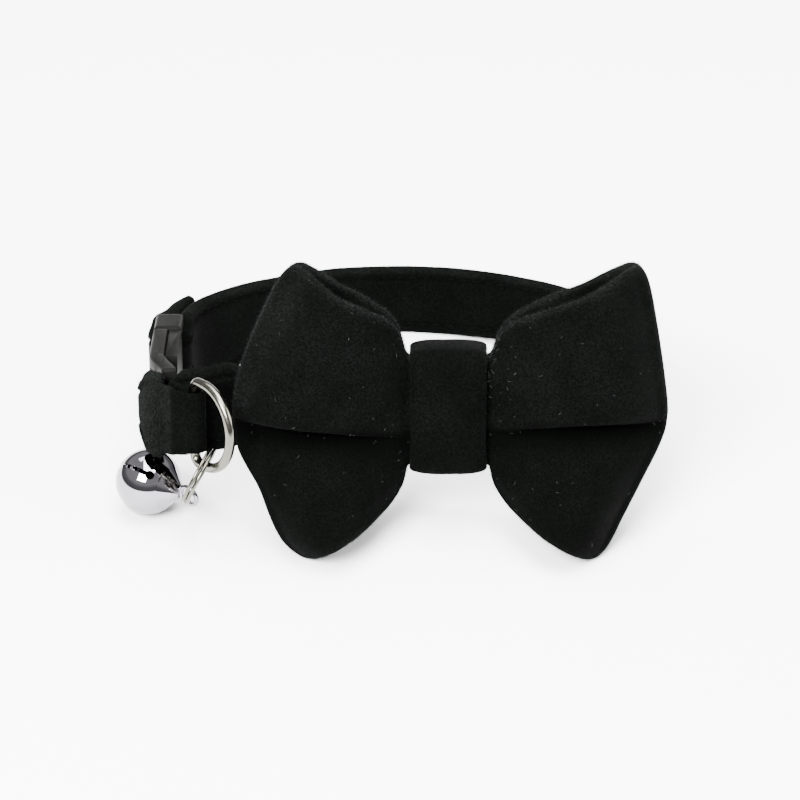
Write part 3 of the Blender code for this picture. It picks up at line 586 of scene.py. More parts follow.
def main_route():
    start = front_bar + Vector((TURN, 0))
    end = rear_bar + Vector((TURN, 0))
    left = Vector((FRONT_LEFT_X, LOOP_FRONT))
    right = Vector((FRONT_RIGHT_X, LOOP_FRONT))
    side = LOOP_CENTRE + Vector((LOOP_HALF.x, 0))
    corner = RIGHT_BEND_SHARE * (side - right)
    route = bezier(start, start - CORNER_BEND, left - LEFT_BEND, left, 24)
    route += bezier(right, right + Vector((corner.x, 0)), side - Vector((0, corner.y)), side, 24)
    back = arc(LOOP_CENTRE, LOOP_HALF.x, LOOP_HALF.y, 0, BACK_ARC_END, 70)
    route += back[1:]
    leave = (back[-1] - back[-2]).normalized()
    reach = (end - back[-1]).length
    leave_point = back[-1] + leave * BACK_LEAVE_SHARE * reach
    arrive_point = end + Vector((0, BACK_ARRIVE_SHARE * reach))
    route += bezier(back[-1], leave_point, arrive_point, end, 30)[1:]
    return evenly(route, 0.0010)


def tail(route, length, side):
    """A folded end: it lies on the outside of the strap and swells slightly where it leaves the bar."""
    points = []
    count = round(length / 0.0008)
    for i in range(1, count + 1):
        distance = length * i / count
        place, direction = point_at(route, distance)
        apart = lerp(2 * TURN, STRAP_THICKNESS + GAP, smooth(distance / (2 * TURN)))
        points.append(place + outward(direction) * (apart * side))
    return points


route = main_route()
front_tail = tail(route, FRONT_TAIL, 1)
rear_tail = tail(route[::-1], REAR_TAIL, -1)
strap_run = front_tail[::-1] + arc(front_bar, TURN, TURN, 180, 0, BAR_STEPS)[:-1] + route
first_bar = len(front_tail) + BAR_STEPS
last_bar = len(strap_run) - 1
strap_run += arc(rear_bar, TURN, TURN, 0, -180, BAR_STEPS)[1:] + rear_tail
for part, run in (("strap", strap_run), ("between the bars", route)):
    print(f"{part}: {lengths_along(run)[-1] * 1000:.0f} mm long")


# %% [markdown]
# ## The strap
# The strap is velvet folded round a webbing and sewn along both edges, so each edge is a soft bead
# and the stitch row beside it is a shallow groove. Sweeping one section along the route gives the
# band. The section's thickness dips at the stitch rows, and a little noise makes the beads wander
# as hand-fed sewing does.

# %% Sweep the strap
STITCH_LINE = 0.0049
EDGE_LINE = 0.0056
STRAP_ROWS = 22
FULL_TOP = 0.0016
FULL_BOTTOM = 0.0010
LONGEST_DROOP = 0.0040
CUT_END_HIGHLIGHT = 3.6


def clear_of_bars(i, total):
    """How far a station is past the quarter turns at the buckle's bars."""
    from_first = abs(total[i] - total[first_bar - BAR_STEPS // 2])
    from_last = abs(total[i] - total[last_bar + BAR_STEPS // 2])
    return min(from_first, from_last) - TURN * pi / 2


def strap_half(i, total):
    return 0.5 * lerp(STRAP_END_WIDTH, STRAP_WIDTH, smooth((clear_of_bars(i, total) - 0.0004) / 0.0022))


def edge_drift(i, total, share):
    """How far a soft edge hangs from a straight band: full beside the ring, drooping behind the buckle."""
    place = strap_run[i]
    drift = 0.0
    if place.y < 0 and place.x < 0:
        full = smooth((-0.0366 - place.x) / 0.0050) * smooth((clear_of_bars(i, total) - 0.0012) / 0.0030)
        drift = full * (FULL_TOP * (1 + share) / 2 - FULL_BOTTOM * (1 - share) / 2)
    elif place.x < LOOP_CENTRE.x:
        table = (GAP - COLLAR_PLACE.z + sin(COLLAR_LEAN) * place.y) / cos(COLLAR_LEAN)
        droop = min(LONGEST_DROOP, max(0.0, -STRAP_WIDTH / 2 - table))
        droop *= smooth((place.y - 0.0150) / 0.0060) * smooth((0.0420 - place.y) / 0.0060)
        drift = -droop * (1 - share) / 2
    return drift


def strap_roll(place):
    """The strap leans with the bow along its front, and stands upright past the corners."""
    if place.y > 0:
        return 0.0
    left = smooth((place.x - FRONT_LEFT_X) / 0.006 + 1)
    right = smooth((FRONT_RIGHT_X + 0.0154 - place.x) / 0.0193)
    return BOW_TILT * min(left, right)


def strap_grid():
    total = lengths_along(strap_run)
    grid = []
    for i, place in enumerate(strap_run):
        normal = outward((strap_run[min(i + 1, len(strap_run) - 1)] - strap_run[max(i - 1, 0)]).normalized())
        half = strap_half(i, total) - STRAP_THICKNESS / 2
        roll = strap_roll(place)
        row = []
        for k in range(STRAP_ROWS + 1):
            share = 2 * k / STRAP_ROWS - 1
            height = half * sin(share * pi / 2) * 0.5 + half * share * 0.5
            wander = 0.00016 * noise.noise(Vector((total[i] * 160, height * 60, 3.1)))
            wander += 0.00022 * noise.noise(Vector((total[i] * 60, 2.0 * share, 8.4))) * abs(share)**3
            across = -height * sin(roll) + wander
            edge = 0.00025 * noise.noise(Vector((total[i] * 90, share, 5.7))) * share**2
            edge += edge_drift(i, total, share)
            row.append(Vector((place.x + normal.x * across, place.y + normal.y * across,
                               height * cos(roll) + edge)))
        grid.append(row)
    return grid


strap_middle = strap_grid()


def from_edge(i, j):
    """Distance of a row from the nearer edge of the strap's middle surface."""
    column = strap_middle[i]
    return min((column[j] - column[0]).length, (column[j] - column[-1]).length)


def strap_thickness(i, j):
    height = EDGE_LINE - from_edge(i, j)
    groove = max(0.0, 1 - ((height - STITCH_LINE) / 0.0007)**2)
    bead = 0.0002 * smooth((height - STITCH_LINE) / 0.0008)
    return STRAP_THICKNESS - 0.0002 + bead - 0.0008 * groove


strap = padded_wall("velvet_strap", strap_middle, strap_thickness, False, COLLAR)
# Painted light of the strap: even on its faces, with a painted highlight along its upper edge.
set_painted_light(strap, lambda p: 0.70 + 0.8 * smooth(((inside_collar @ p).z - 0.0050) / 0.0014))
section_size = len(strap.data.vertices) // len(strap_middle)
# Painted highlight on the cut end of the front tail.
paint_end_highlight(strap, range(2 * section_size), CUT_END_HIGHLIGHT)
rest_on_table(strap)
finish_piece(strap, velvet, ["strap"])

# %% [markdown]
# ## The bow
# Each wing is one loop of padded velvet, flattened so that its front and back layers nearly touch at
# the outer edge and gape at the top. A hard crease runs across the middle where the front layer is
# pulled in, and the panel above it overhangs the panel below. Short tables hold the outline
# and the depth, and smooth reading between their rows gives the surface. A fixed table keeps the
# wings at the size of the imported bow, which sculpting by hand would not.

# %% Tables of the bow
BOW_SIZE = {"half_width": 0.0386, "top": 0.0264, "bottom": 0.0268, "waist_top": 0.0086,
            "waist_bottom": 0.0108, "wall": 0.0016, "layer_gap": 0.0008, "depth": 0.0098,
            "fold": 0.0014, "crease": 0.0034, "waist": 0.0078, "pleat": 0.0006}
WAIST_END = 0.20

# height: 1 at the top corner, 0 at the crease, -1 at the bottom corner. reach: share of half_width.
# sweep: how far the outer edge turns back, as a share of depth.
EDGE_COLUMNS = ("height", "reach", "sweep")
LEFT_EDGE = (
    (1.00, 0.700, 0.000), (0.96, 0.745, 0.007), (0.74, 0.830, 0.018), (0.40, 0.935, 0.035),
    (0.12, 0.982, 0.042), (-0.10, 0.978, 0.042), (-0.24, 0.958, 0.035), (-0.50, 0.867, 0.021),
    (-0.75, 0.805, 0.007), (-0.93, 0.740, 0.000), (-1.00, 0.675, 0.000),
)
RIGHT_EDGE = (
    (1.00, 0.865, 0.000), (0.95, 0.895, 0.007), (0.66, 0.940, 0.018), (0.32, 0.980, 0.035),
    (0.08, 1.000, 0.042), (-0.06, 0.995, 0.042), (-0.20, 0.962, 0.035), (-0.48, 0.872, 0.021),
    (-0.74, 0.788, 0.007), (-0.94, 0.726, 0.000), (-1.00, 0.688, 0.000),
)
# along: 0 in the middle, WAIST_END beside the knot, 1 at the outer edge. top, bottom: how far the
# edge has opened. front, back: stand-off of each layer as a share of depth. right, left: drop of the
# crease of each wing, as a share of bottom.
WING_COLUMNS = ("along", "top", "bottom", "front", "back", "right", "left")
WING = (
    (0.00, 0.00, 0.00, 0.00, 0.00, 0.190, 0.205), (0.10, 0.00, 0.00, 0.00, 0.00, 0.190, 0.205),
    (0.20, 0.00, 0.00, 0.00, 0.00, 0.190, 0.215), (0.24, 0.20, 0.20, 0.10, 0.00, 0.186, 0.215),
    (0.30, 0.37, 0.34, 0.25, 0.00, 0.172, 0.208), (0.37, 0.47, 0.45, 0.42, 0.00, 0.150, 0.192),
    (0.48, 0.58, 0.55, 0.66, 0.01, 0.118, 0.165), (0.60, 0.69, 0.65, 0.85, 0.02, 0.088, 0.137),
    (0.72, 0.78, 0.74, 0.94, 0.02, 0.074, 0.118), (0.84, 0.88, 0.85, 0.83, 0.01, 0.080, 0.108),
    (0.93, 0.95, 0.94, 0.58, 0.00, 0.093, 0.104), (1.00, 1.00, 1.00, 0.26, 0.00, 0.100, 0.102),
)
# fullness: share of the depth that the front layer keeps. forward: how far both layers come forward.
FULLNESS_COLUMNS = ("height", "fullness", "forward")
FULLNESS = (
    (-1.00, 0.86, 0.60), (-0.86, 0.95, 0.50), (-0.68, 0.99, 0.38), (-0.50, 0.97, 0.26), (-0.34, 0.92, 0.16),
    (-0.20, 0.83, 0.08), (-0.10, 0.72, 0.03), (-0.03, 0.60, 0.01), (0.02, 0.64, 0.00), (0.06, 0.92, 0.00),
    (0.14, 1.00, 0.00), (0.30, 1.02, 0.00), (0.48, 1.01, 0.00), (0.66, 1.00, 0.02), (0.84, 0.98, 0.04),
    (1.00, 0.94, 0.06),
)

# %% Read a table smoothly
def read_table(table, columns, at, name):
    """Value of a named column where the first column equals at, along a smooth curve."""
    rows = sorted(table)
    column = columns.index(name)
    last = len(rows) - 1
    if at <= rows[0][0] or at >= rows[last][0]:
        return rows[0 if at <= rows[0][0] else last][column]
    low = max(i for i in range(last) if rows[i][0] <= at)

    def slope(i):
        before, after = max(i - 1, 0), min(i + 1, last)
        return (rows[after][column] - rows[before][column]) / (rows[after][0] - rows[before][0])

    step = rows[low + 1][0] - rows[low][0]
    t = (at - rows[low][0]) / step
    rise = (2 * t**3 - 3 * t**2 + 1) * rows[low][column] + (3 * t**2 - 2 * t**3) * rows[low + 1][column]
    return rise + step * ((t**3 - 2 * t**2 + t) * slope(low) + (t**3 - t**2) * slope(low + 1))


# %% One point of a wing
def wing_point(side, section, along, height, reading, layer):
    """Middle of one layer of a wing, in the bow's frame. layer is -1 for the front, 1 for the back."""
    size = BOW_SIZE
    crease = -section["right" if side > 0 else "left"] * size["bottom"]
    opened = lerp(size["waist_top"], size["top"], section["top"])
    if height < 0:
        opened = -lerp(size["waist_bottom"], size["bottom"], section["bottom"])
    z = lerp(crease, opened, abs(height))
    out = (along - WAIST_END) / (1 - WAIST_END)
    x = lerp(size["waist"], reading["reach"] * size["half_width"], out)
    if out < 0:
        x = size["waist"] * along / WAIST_END
    base = (size["wall"] + size["layer_gap"]) / 2
    forward = reading["forward"] * size["depth"] * smooth(out / 0.75)
    if layer > 0:
        return Vector((side * x, base + section["back"] * size["depth"] - forward, z))
    full = reading["fullness"]
    stand = section["front"] * size["depth"] * full
    valley = size["crease"] * (1 - full) * smooth(4 * out) * smooth(8 * (1.02 - out))
    pleat = size["pleat"] * sin(3 * pi * height) * smooth(6 * out) * smooth(3 * (0.6 - out))
    sweep = reading["sweep"] * size["depth"] * smooth(2 * out - 1)
    return Vector((side * x, -base - stand + valley + pleat + sweep - forward, z))


def bow_heights():
    """Heights of the grid's rows: close together at the crease and at the rims."""
    fine = [-0.13, -0.10, -0.07, -0.045, -0.025, -0.005, 0.010, 0.025, 0.040, 0.055, 0.075, 0.10, 0.14]
    low = [-1.0, -0.985] + [lerp(-0.95, -0.18, i / 14) for i in range(15)]
    high = [lerp(0.19, 0.95, i / 14) for i in range(15)] + [0.985, 1.0]
    return low + fine + high


def bow_grid():
    heights = bow_heights()
    steps = [0.0, 0.05, 0.10, 0.15] + [lerp(0.19, 0.42, i / 11) for i in range(12)]
    steps += [lerp(0.45, 0.93, i / 13) for i in range(14)] + [0.955, 0.98, 1.0]
    columns = []
    for edge, side in ((RIGHT_EDGE, 1), (LEFT_EDGE, -1)):
        readings = []
        for h in heights:
            row = {name: read_table(edge, EDGE_COLUMNS, h, name) for name in EDGE_COLUMNS}
            row.update({name: read_table(FULLNESS, FULLNESS_COLUMNS, h, name) for name in FULLNESS_COLUMNS})
            readings.append(row)
        layers = {1: [], -1: []}
        for along in steps:
            section = {name: read_table(WING, WING_COLUMNS, along, name) for name in WING_COLUMNS}
            for layer in layers:
                layers[layer].append([wing_point(side, section, along, h, r, layer)
                                      for h, r in zip(heights, readings)])
        fold = []
        for k in range(1, 6):
            angle = pi * k / 6
            out = Vector((side * BOW_SIZE["fold"] * sin(angle), 0, 0))
            fold.append([(b + f) / 2 + (b - f) / 2 * cos(angle) + out
                         for b, f in zip(layers[1][-1], layers[-1][-1])])
        if side > 0:
            columns += layers[1] + fold + layers[-1][::-1]
        else:
            columns += layers[-1][1:] + fold[::-1] + layers[1][:0:-1]
    return columns


bow_middle = bow_grid()
print("bow grid:", len(bow_middle), "by", len(bow_middle[0]))

# %% [markdown]
# ## Padding by simulation
# A table gives the shape that the maker sewed. What the padding adds is a slight swelling between
# the places where the cloth is held. Blender's cloth solver makes it: the closed wall is blown up
# gently while gravity is off. The solver works in metres, so a wall of a few millimetres is enlarged
# first and shrunk back after. Each point may move only a little, which keeps the outline.

# %% Cloth simulation
PUFF_SCALE = 60.0
PUFF_FRAMES = 16


def puff(piece, pressure, cap, is_held):
    """Blows a closed padded wall up slightly and keeps the result in its mesh."""
    scene = bpy.context.scene
    before = [v.co.copy() for v in piece.data.vertices]
    for vertex, place in zip(piece.data.vertices, before):
        vertex.co = place * PUFF_SCALE
    pins = piece.vertex_groups.new(name="held")
    pins.add([v.index for v, place in zip(piece.data.vertices, before) if is_held(place)], 1.0, "REPLACE")
    cloth = piece.modifiers.new("Padding", "CLOTH")
    cloth.settings.quality = 4
    cloth.settings.mass = 0.3
    cloth.settings.use_pressure = True
    cloth.settings.uniform_pressure_force = pressure
    cloth.settings.vertex_group_mass = pins.name
    cloth.settings.effector_weights.gravity = 0.0
    cloth.collision_settings.use_collision = False
    cloth.point_cache.frame_start = 1
    cloth.point_cache.frame_end = PUFF_FRAMES
    for number in range(1, PUFF_FRAMES + 1):
        scene.frame_set(number)
    puffed = piece.evaluated_get(bpy.context.evaluated_depsgraph_get())
    after = [v.co / PUFF_SCALE for v in puffed.data.vertices]
    piece.modifiers.remove(cloth)
    piece.vertex_groups.remove(pins)
    scene.frame_set(1)
    furthest = 0.0
    for vertex, old, new in zip(piece.data.vertices, before, after):
        move = new - old
        furthest = max(furthest, move.length)
        if move.length > cap:
            move *= cap / move.length
        vertex.co = old + move
    print(f"{piece.name}: the solver moved it up to {furthest * 1000:.2f} mm, kept to {cap * 1000:.2f} mm")


# %% Make the bow
bow_row_heights = bow_heights()


def bow_thickness(i, j):
    return BOW_SIZE["wall"] + 0.0002 * smooth((0.97 - abs(bow_row_heights[j])) / 0.12)


bow = padded_wall("velvet_bow", bow_middle, bow_thickness, True, BOW)
puff(bow, 0.25, 0.0004, lambda p: abs((inside_bow @ p).x) < 0.0086)


def bow_painted_light(place):
    """Painted light of the bow: painted shade in the crease, a painted shadow under its overhang, painted
    shade on the lower panel and a painted highlight at the left outer edge.
    """
    local = inside_bow @ place
    half_width = BOW_SIZE["half_width"]
    wing, edge = ("right", RIGHT_EDGE) if local.x > 0 else ("left", LEFT_EDGE)
    crease = -read_table(WING, WING_COLUMNS, abs(local.x) / half_width, wing) * BOW_SIZE["bottom"]
    below = crease - local.z
    height = -below / (BOW_SIZE["top" if below < 0 else "bottom"] + crease)
    outwards = abs(local.x) / (read_table(edge, EDGE_COLUMNS, height, "reach") * half_width)
    # Painted shade: the lower panel is darker than the upper one.
    tone = lerp(0.95, 0.60, smooth(below / 0.002 + 0.5))
    # Painted shadow in the crease and under the overhang.
    shadow = smooth(1 - below / 0.0055) if below > 0 else smooth(1 + below / 0.0018)
    # Painted highlight along the left wing's outer edge.
    edge_highlight = smooth((outwards - 0.94) / 0.05) * smooth(height * 6) * (local.x < 0)
    return tone * (1 - 0.85 * shadow) + 0.5 * edge_highlight


set_painted_light(bow, bow_painted_light)
# Painted highlight along the bow's rims.
paint_rim_highlight(bow, len(bow_middle), len(bow_row_heights), 1.7)
apply_modifier(bow, "SUBSURF", levels=1, render_levels=1)
rest_on_table(bow)
finish_piece(bow, velvet, ["bow"])

# %% [markdown]
# ## The knot band
# A separate band of the same velvet wraps the waist of the bow and the strap behind it, and is sewn
# at the back. It is a closed loop in the side view: a rounded rectangle. A superellipse makes that
# outline from one formula, and a crown across the width gives the padded front.

# %% Make the knot band
KNOT_WIDTH = 0.0144
KNOT_WALL = 0.0016
KNOT_FRONT = -0.0034
KNOT_BACK = 0.0067
KNOT_TOP = 0.0097
KNOT_BOTTOM = -0.0119
KNOT_CROWN = 0.0010
KNOT_POWER = 0.30
KNOT_AROUND = 72
KNOT_ACROSS = 18


def knot_grid():
    middle = (KNOT_FRONT + KNOT_BACK) / 2
    rise = (KNOT_TOP + KNOT_BOTTOM) / 2
    deep = (KNOT_BACK - KNOT_FRONT) / 2
    tall = (KNOT_TOP - KNOT_BOTTOM) / 2
    grid = []
    for i in range(KNOT_AROUND):
        angle = 2 * pi * i / KNOT_AROUND
        side_y, side_z = -cos(angle), sin(angle)
        y = middle + deep * abs(side_y)**KNOT_POWER * (1 if side_y >= 0 else -1)
        z = rise + tall * abs(side_z)**KNOT_POWER * (1 if side_z >= 0 else -1)
        row = []
        for k in range(KNOT_ACROSS + 1):
            share = 2 * k / KNOT_ACROSS - 1
            crown = KNOT_CROWN * (1 - share**4)
            ripple = 0.00018 * noise.noise(Vector((share * 1.8, angle * 2.2, 4.0)))
            half = (KNOT_WIDTH - KNOT_WALL) / 2 + 0.00015 * noise.noise(Vector((angle * 1.7, share, 9.0)))
            row.append(Vector((half * share, y - crown * max(-side_y, 0) + ripple, z + 0.6 * crown * side_z)))
        grid.append(row)
    return grid


knot = padded_wall("velvet_knot_band", knot_grid(), lambda i, j: KNOT_WALL, True, BOW)
puff(knot, 0.25, 0.00020, lambda p: (inside_bow @ p).y > 0.004)
# Painted highlight along the knot band's right side, over an even painted light.
set_painted_light(knot, lambda p: 0.80 + 0.9 * smooth(((inside_bow @ p).x - 0.0062) / 0.0008))
finish_piece(knot, velvet, ["knot_band"])

# %% [markdown]
# ## The keeper of the D-ring
# A narrow tab of velvet is folded round the ring's straight bar and sewn down on the strap. It is one
# padded wall again, along a short path that goes under the bar, round it and back.

# %% Make the keeper
D_WIRE = 0.0019
D_STATION = 0.0050
D_SAG = 0.0003
KEEPER_WALL = 0.0009
KEEPER_WIDTH = 0.0120
KEEPER_SEWN_WIDTH = 0.0138
KEEPER_REACH = 0.0024
KEEPER_SEWN_HEIGHT = 0.0047
KEEPER_STEPS = 12
KEEPER_END_HIGHLIGHT = 3.0

bar_station, bar_heading = point_at(route, D_STATION)
bar_out = outward(bar_heading)
ring_bar = bar_station + bar_out * (STRAP_THICKNESS / 2 + 2 * GAP + KEEPER_WALL + D_WIRE / 2)


def keeper_run():
    """The tab's path in plan: under the bar, round it and back to where it is sewn down."""
    turn = D_WIRE / 2 + GAP + KEEPER_WALL / 2
    under = STRAP_THICKNESS / 2 + GAP + KEEPER_WALL / 2
    inner, outer = [], []
    for i in range(KEEPER_STEPS + 1):
        share = i / KEEPER_STEPS
        place, direction = point_at(route, D_STATION - KEEPER_REACH * (1 - share))
        over = lerp(KEEPER_SEWN_HEIGHT, under + 2 * turn, smooth(share * 1.1))
        inner.append(place + outward(direction) * under)
        outer.append(place + outward(direction) * over)
    heading = atan2(bar_out.y, bar_out.x)
    angles = [heading + pi - pi * i / 16 for i in range(1, 16)]
    return inner + [ring_bar + Vector((cos(a), sin(a))) * turn for a in angles] + outer[::-1]


def keeper_middle():
    """The tab is widest where it is sewn down, and narrows to fit between the ring's corners."""
    points = keeper_run()
    grid = []
    for i, place in enumerate(points):
        from_end = min(i, len(points) - 1 - i) / KEEPER_STEPS
        width = lerp(KEEPER_SEWN_WIDTH, KEEPER_WIDTH, smooth(from_end)) - KEEPER_WALL
        shares = [k / KEEPER_STEPS - 0.5 for k in range(KEEPER_STEPS + 1)]
        grid.append([Vector((place.x, place.y, -D_SAG / 2 + width * share)) for share in shares])
    return grid


keeper_grid = keeper_middle()
keeper = padded_wall("velvet_ring_keeper", keeper_grid, lambda i, j: KEEPER_WALL, False, COLLAR)
set_painted_light(keeper, lambda p: 1.0)
keeper_size = len(keeper.data.vertices)
# Painted highlight on the keeper's sewn end, over an even painted light.
paint_end_highlight(keeper, range(keeper_size - 3 * keeper_size // len(keeper_grid), keeper_size), KEEPER_END_HIGHLIGHT)
finish_piece(keeper, velvet, ["ring_keeper"])

# %% [markdown]
# ## The side-release buckle
# The two halves are moulded plastic. The front half is a pocket that takes the prongs of the rear
# half. Its outer strip bends towards the neck at the front, a narrow inner strip stops short of that
# bend, and a fine gap runs between them. Each half is cut from a rounded block with booleans, as the
# mould's cores would leave it. Booleans suit this piece because every opening is a plain box.

# %% Block, cutters and edges
BUCKLE_DEPTH = 0.0053
BUCKLE_HEIGHT = 0.0155
BUCKLE_WALL = 0.0011
WINDOW = STRAP_END_WIDTH / 2 + GAP
WINDOW_LENGTH = 0.0062
PAST = 0.001
SEAM = BUCKLE_FRONT + 0.0225
x0 = BUCKLE_X
half_depth = BUCKLE_DEPTH / 2
half_height = BUCKLE_HEIGHT / 2


def block(name, low, high, loops=1):
    """A box between two corners, with extra loops along y so that it can bend."""
    corners = ((low[0], low[2]), (high[0], low[2]), (high[0], high[2]), (low[0], high[2]))
    verts = [(x, lerp(low[1], high[1], i / loops), z) for i in range(loops + 1) for x, z in corners]
    faces = [(0, 1, 2, 3), tuple(4 * loops + k for k in (3, 2, 1, 0))]
    for i in range(loops):
        for k in range(4):
            m = (k + 1) % 4
            faces.append((4 * i + m, 4 * i + k, 4 * i + 4 + k, 4 * i + 4 + m))
    return new_piece(name, verts, faces, Matrix())


def bevel(obj, width, segments, angle=35.0):
    apply_modifier(obj, "BEVEL", width=width, segments=segments, limit_method="ANGLE",
                   angle_limit=radians(angle))


def combine(obj, other, operation="DIFFERENCE"):
    apply_modifier(obj, "BOOLEAN", operation=operation, solver="EXACT", object=other)
    bpy.data.objects.remove(other)


def cut_box(obj, low, high):
    combine(obj, block("cutter", low, high))


def place_in_world(obj, matrix):
    for vertex in obj.data.vertices:
        vertex.co = matrix @ vertex.co


def add_bar(obj, bar_y):
    """The round bar that the strap turns on, sunk into both sides of its half."""
    place = Matrix.Translation((x0, bar_y, 0))
    edit_mesh(obj, lambda shape: bmesh.ops.create_cone(
        shape, cap_ends=True, segments=24, radius1=BAR, radius2=BAR, depth=2 * WINDOW + 0.0012, matrix=place))


# %% Front half
STRIP_BEND = 0.0031
inner_depth = half_depth - BUCKLE_WALL
inner_height = half_height - BUCKLE_WALL
window_end = BUCKLE_FRONT + 2 * BAR + WINDOW_LENGTH
strip_start = SEAM - 0.0145

socket = block("buckle_front_half", (x0 - half_depth, BUCKLE_FRONT, -half_height),
               (x0 + half_depth, SEAM, half_height), 24)
bevel(socket, 0.0006, 3, 60.0)
cut_box(socket, (x0 - 0.01, BUCKLE_FRONT - PAST, -WINDOW), (x0 + 0.01, window_end, WINDOW))
cut_box(socket, (x0 - inner_depth, window_end + BUCKLE_WALL, -inner_height),
        (x0 + inner_depth, SEAM + PAST, inner_height))
# The gap between the strips and the two steps beside it, cut in from the upper and the lower edge:
# how high each cut begins, then where it begins and ends along x and along y.
EDGE_CUTS = (
    (half_height - 2.2 * BUCKLE_WALL, (0.00005, 0.00040), (strip_start, SEAM + PAST)),
    (half_height - 0.0004, (0.00030, 0.0030), (strip_start, SEAM + PAST)),
    (WINDOW - 0.0001, (0.00010, 0.0030), (BUCKLE_FRONT - PAST, strip_start + 0.0001)),
)
for side in (-1, 1):
    for begins, (x_low, x_high), (y_low, y_high) in EDGE_CUTS:
        low, high = sorted((side * begins, side * (half_height + PAST)))
        cut_box(socket, (x0 + x_low, y_low, low), (x0 + x_high, y_high, high))
bevel(socket, 0.00016, 2)
for vertex in socket.data.vertices:
    if abs(vertex.co.z) > WINDOW - 0.0003:
        vertex.co.x += STRIP_BEND * smooth((window_end + 0.0008 - vertex.co.y) / 0.0105)
add_bar(socket, front_bar.y)

# %% Rear half
plug_front = SEAM + GAP
plug = block("buckle_rear_half", (x0 - half_depth, plug_front, -half_height),
             (x0 + half_depth, BUCKLE_REAR, half_height), 8)
bevel(plug, 0.0007, 3, 60.0)
cut_box(plug, (x0 - 0.01, plug_front + BUCKLE_WALL, -WINDOW), (x0 + 0.01, BUCKLE_REAR + PAST, WINDOW))
bevel(plug, 0.00016, 2)
prong_depth = inner_depth - GAP
for low, high in ((0.0046, 0.0064), (-0.0064, -0.0046), (-0.0015, 0.0015)):
    prong = block("prong", (x0 - prong_depth, SEAM - 0.0108, low),
                  (x0 + prong_depth, plug_front + 0.0005, high), 2)
    bevel(prong, 0.0004, 2, 60.0)
    edit_mesh(plug, lambda shape: shape.from_mesh(prong.data))
    bpy.data.objects.remove(prong)
add_bar(plug, rear_bar.y)

for half, node in ((socket, "buckle_socket"), (plug, "buckle_plug")):
    place_in_world(half, COLLAR)
    finish_piece(half, plastic, [node])
    half.data.set_sharp_from_angle(angle=radians(38))


# %% [markdown]
# ## Wire that follows a path
# The D-ring, the split ring, the loop on the bell and the loose fibres are all round wire along a
# path. A Geometry Nodes tree does this well: the path's edges become a curve, a circle is swept along
# it, and the sizes are named inputs, so one tree serves every wire. The result is kept as a plain mesh.

# %% Tree for wire
def start_tree(name, source, *sizes):
    """A tree that takes a source, named sizes and a finish, and puts out one mesh."""
    inputs = [(source, "Geometry", None), *sizes, ("Finish", "Material", None)]
    return make_group(name, "GeometryNodeTree", inputs, [("Piece", "Geometry")])


def end_tree(tree, start, end, geometry):
    """The end that all trees share: instances made real, with the finish on them."""
    real = add_node(tree, "GeometryNodeRealizeInstances", {"Geometry": geometry})
    finish = add_node(tree, "GeometryNodeSetMaterial",
                      {"Geometry": real.outputs["Geometry"], "Material": start["Finish"]})
    feed(tree, end, {"Piece": finish.outputs["Geometry"]})
    return tree


def make_wire_tree():
    tree, start, end = start_tree("wire_along_path", "Path", ("Radius", "Float", 0.001), ("Sides", "Int", 12))
    curve = add_node(tree, "GeometryNodeMeshToCurve", {"Mesh": start["Path"]})
    profile = add_node(tree, "GeometryNodeCurvePrimitiveCircle",
                       {"Radius": start["Radius"], "Resolution": start["Sides"]})
    sweep = add_node(tree, "GeometryNodeCurveToMesh", {"Curve": curve.outputs["Curve"], "Fill Caps": True,
                                                       "Profile Curve": profile.outputs["Curve"]})
    return end_tree(tree, start, end, sweep.outputs["Mesh"])


def run_tree(obj, tree, **values):
    """Runs a Geometry Nodes tree on a piece with named inputs, and keeps the result as its mesh."""
    modifier = obj.modifiers.new(tree.name, "NODES")
    modifier.node_group = tree
    for item in tree.interface.items_tree:
        if item.item_type == "SOCKET" and item.in_out == "INPUT" and item.name in values:
            modifier[item.identifier] = values[item.name]
    obj.update_tag()
    keep_modifiers(obj)
    return obj


def path_piece(name, paths, closed=False):
    """One mesh of edges for one or more paths of world points."""
    verts, edges = [], []
    for points in paths:
        first = len(verts)
        verts += [tuple(p) for p in points]
        edges += [(first + i, first + i + 1) for i in range(len(points) - 1)]
        if closed:
            edges.append((len(verts) - 1, first))
    mesh = bpy.data.meshes.new(name)
    mesh.from_pydata(verts, edges, [])
    return add_object(name, mesh)


WIRE = make_wire_tree()


def wire(name, points, radius, sides, material, closed=False):
    obj = run_tree(path_piece(name, [points], closed), WIRE, Radius=radius, Sides=sides, Finish=material)
    outward_faces(obj)
    return obj


def sharp_edges(obj, degrees):
    obj.data.set_sharp_from_angle(angle=radians(degrees))


# %% [markdown]
# ## The D-ring
# It is thick nickel wire bent to a D, whose two ends meet in a butt joint on its upper side. Leaving
# a hair's breadth between the ends shows the joint as a fine dark line.

# %% Make the D-ring
D_INNER = 0.0142
D_REACH = 0.0118
D_CORNER = 0.0017
D_TURN = radians(40.0)
d_half = (D_INNER + D_WIRE) / 2
d_reach = D_REACH - D_WIRE / 2
d_start = 0.30 * d_reach
d_along = Vector((sin(D_TURN), -cos(D_TURN), 0))
d_base = Vector((ring_bar.x, ring_bar.y, -D_SAG))


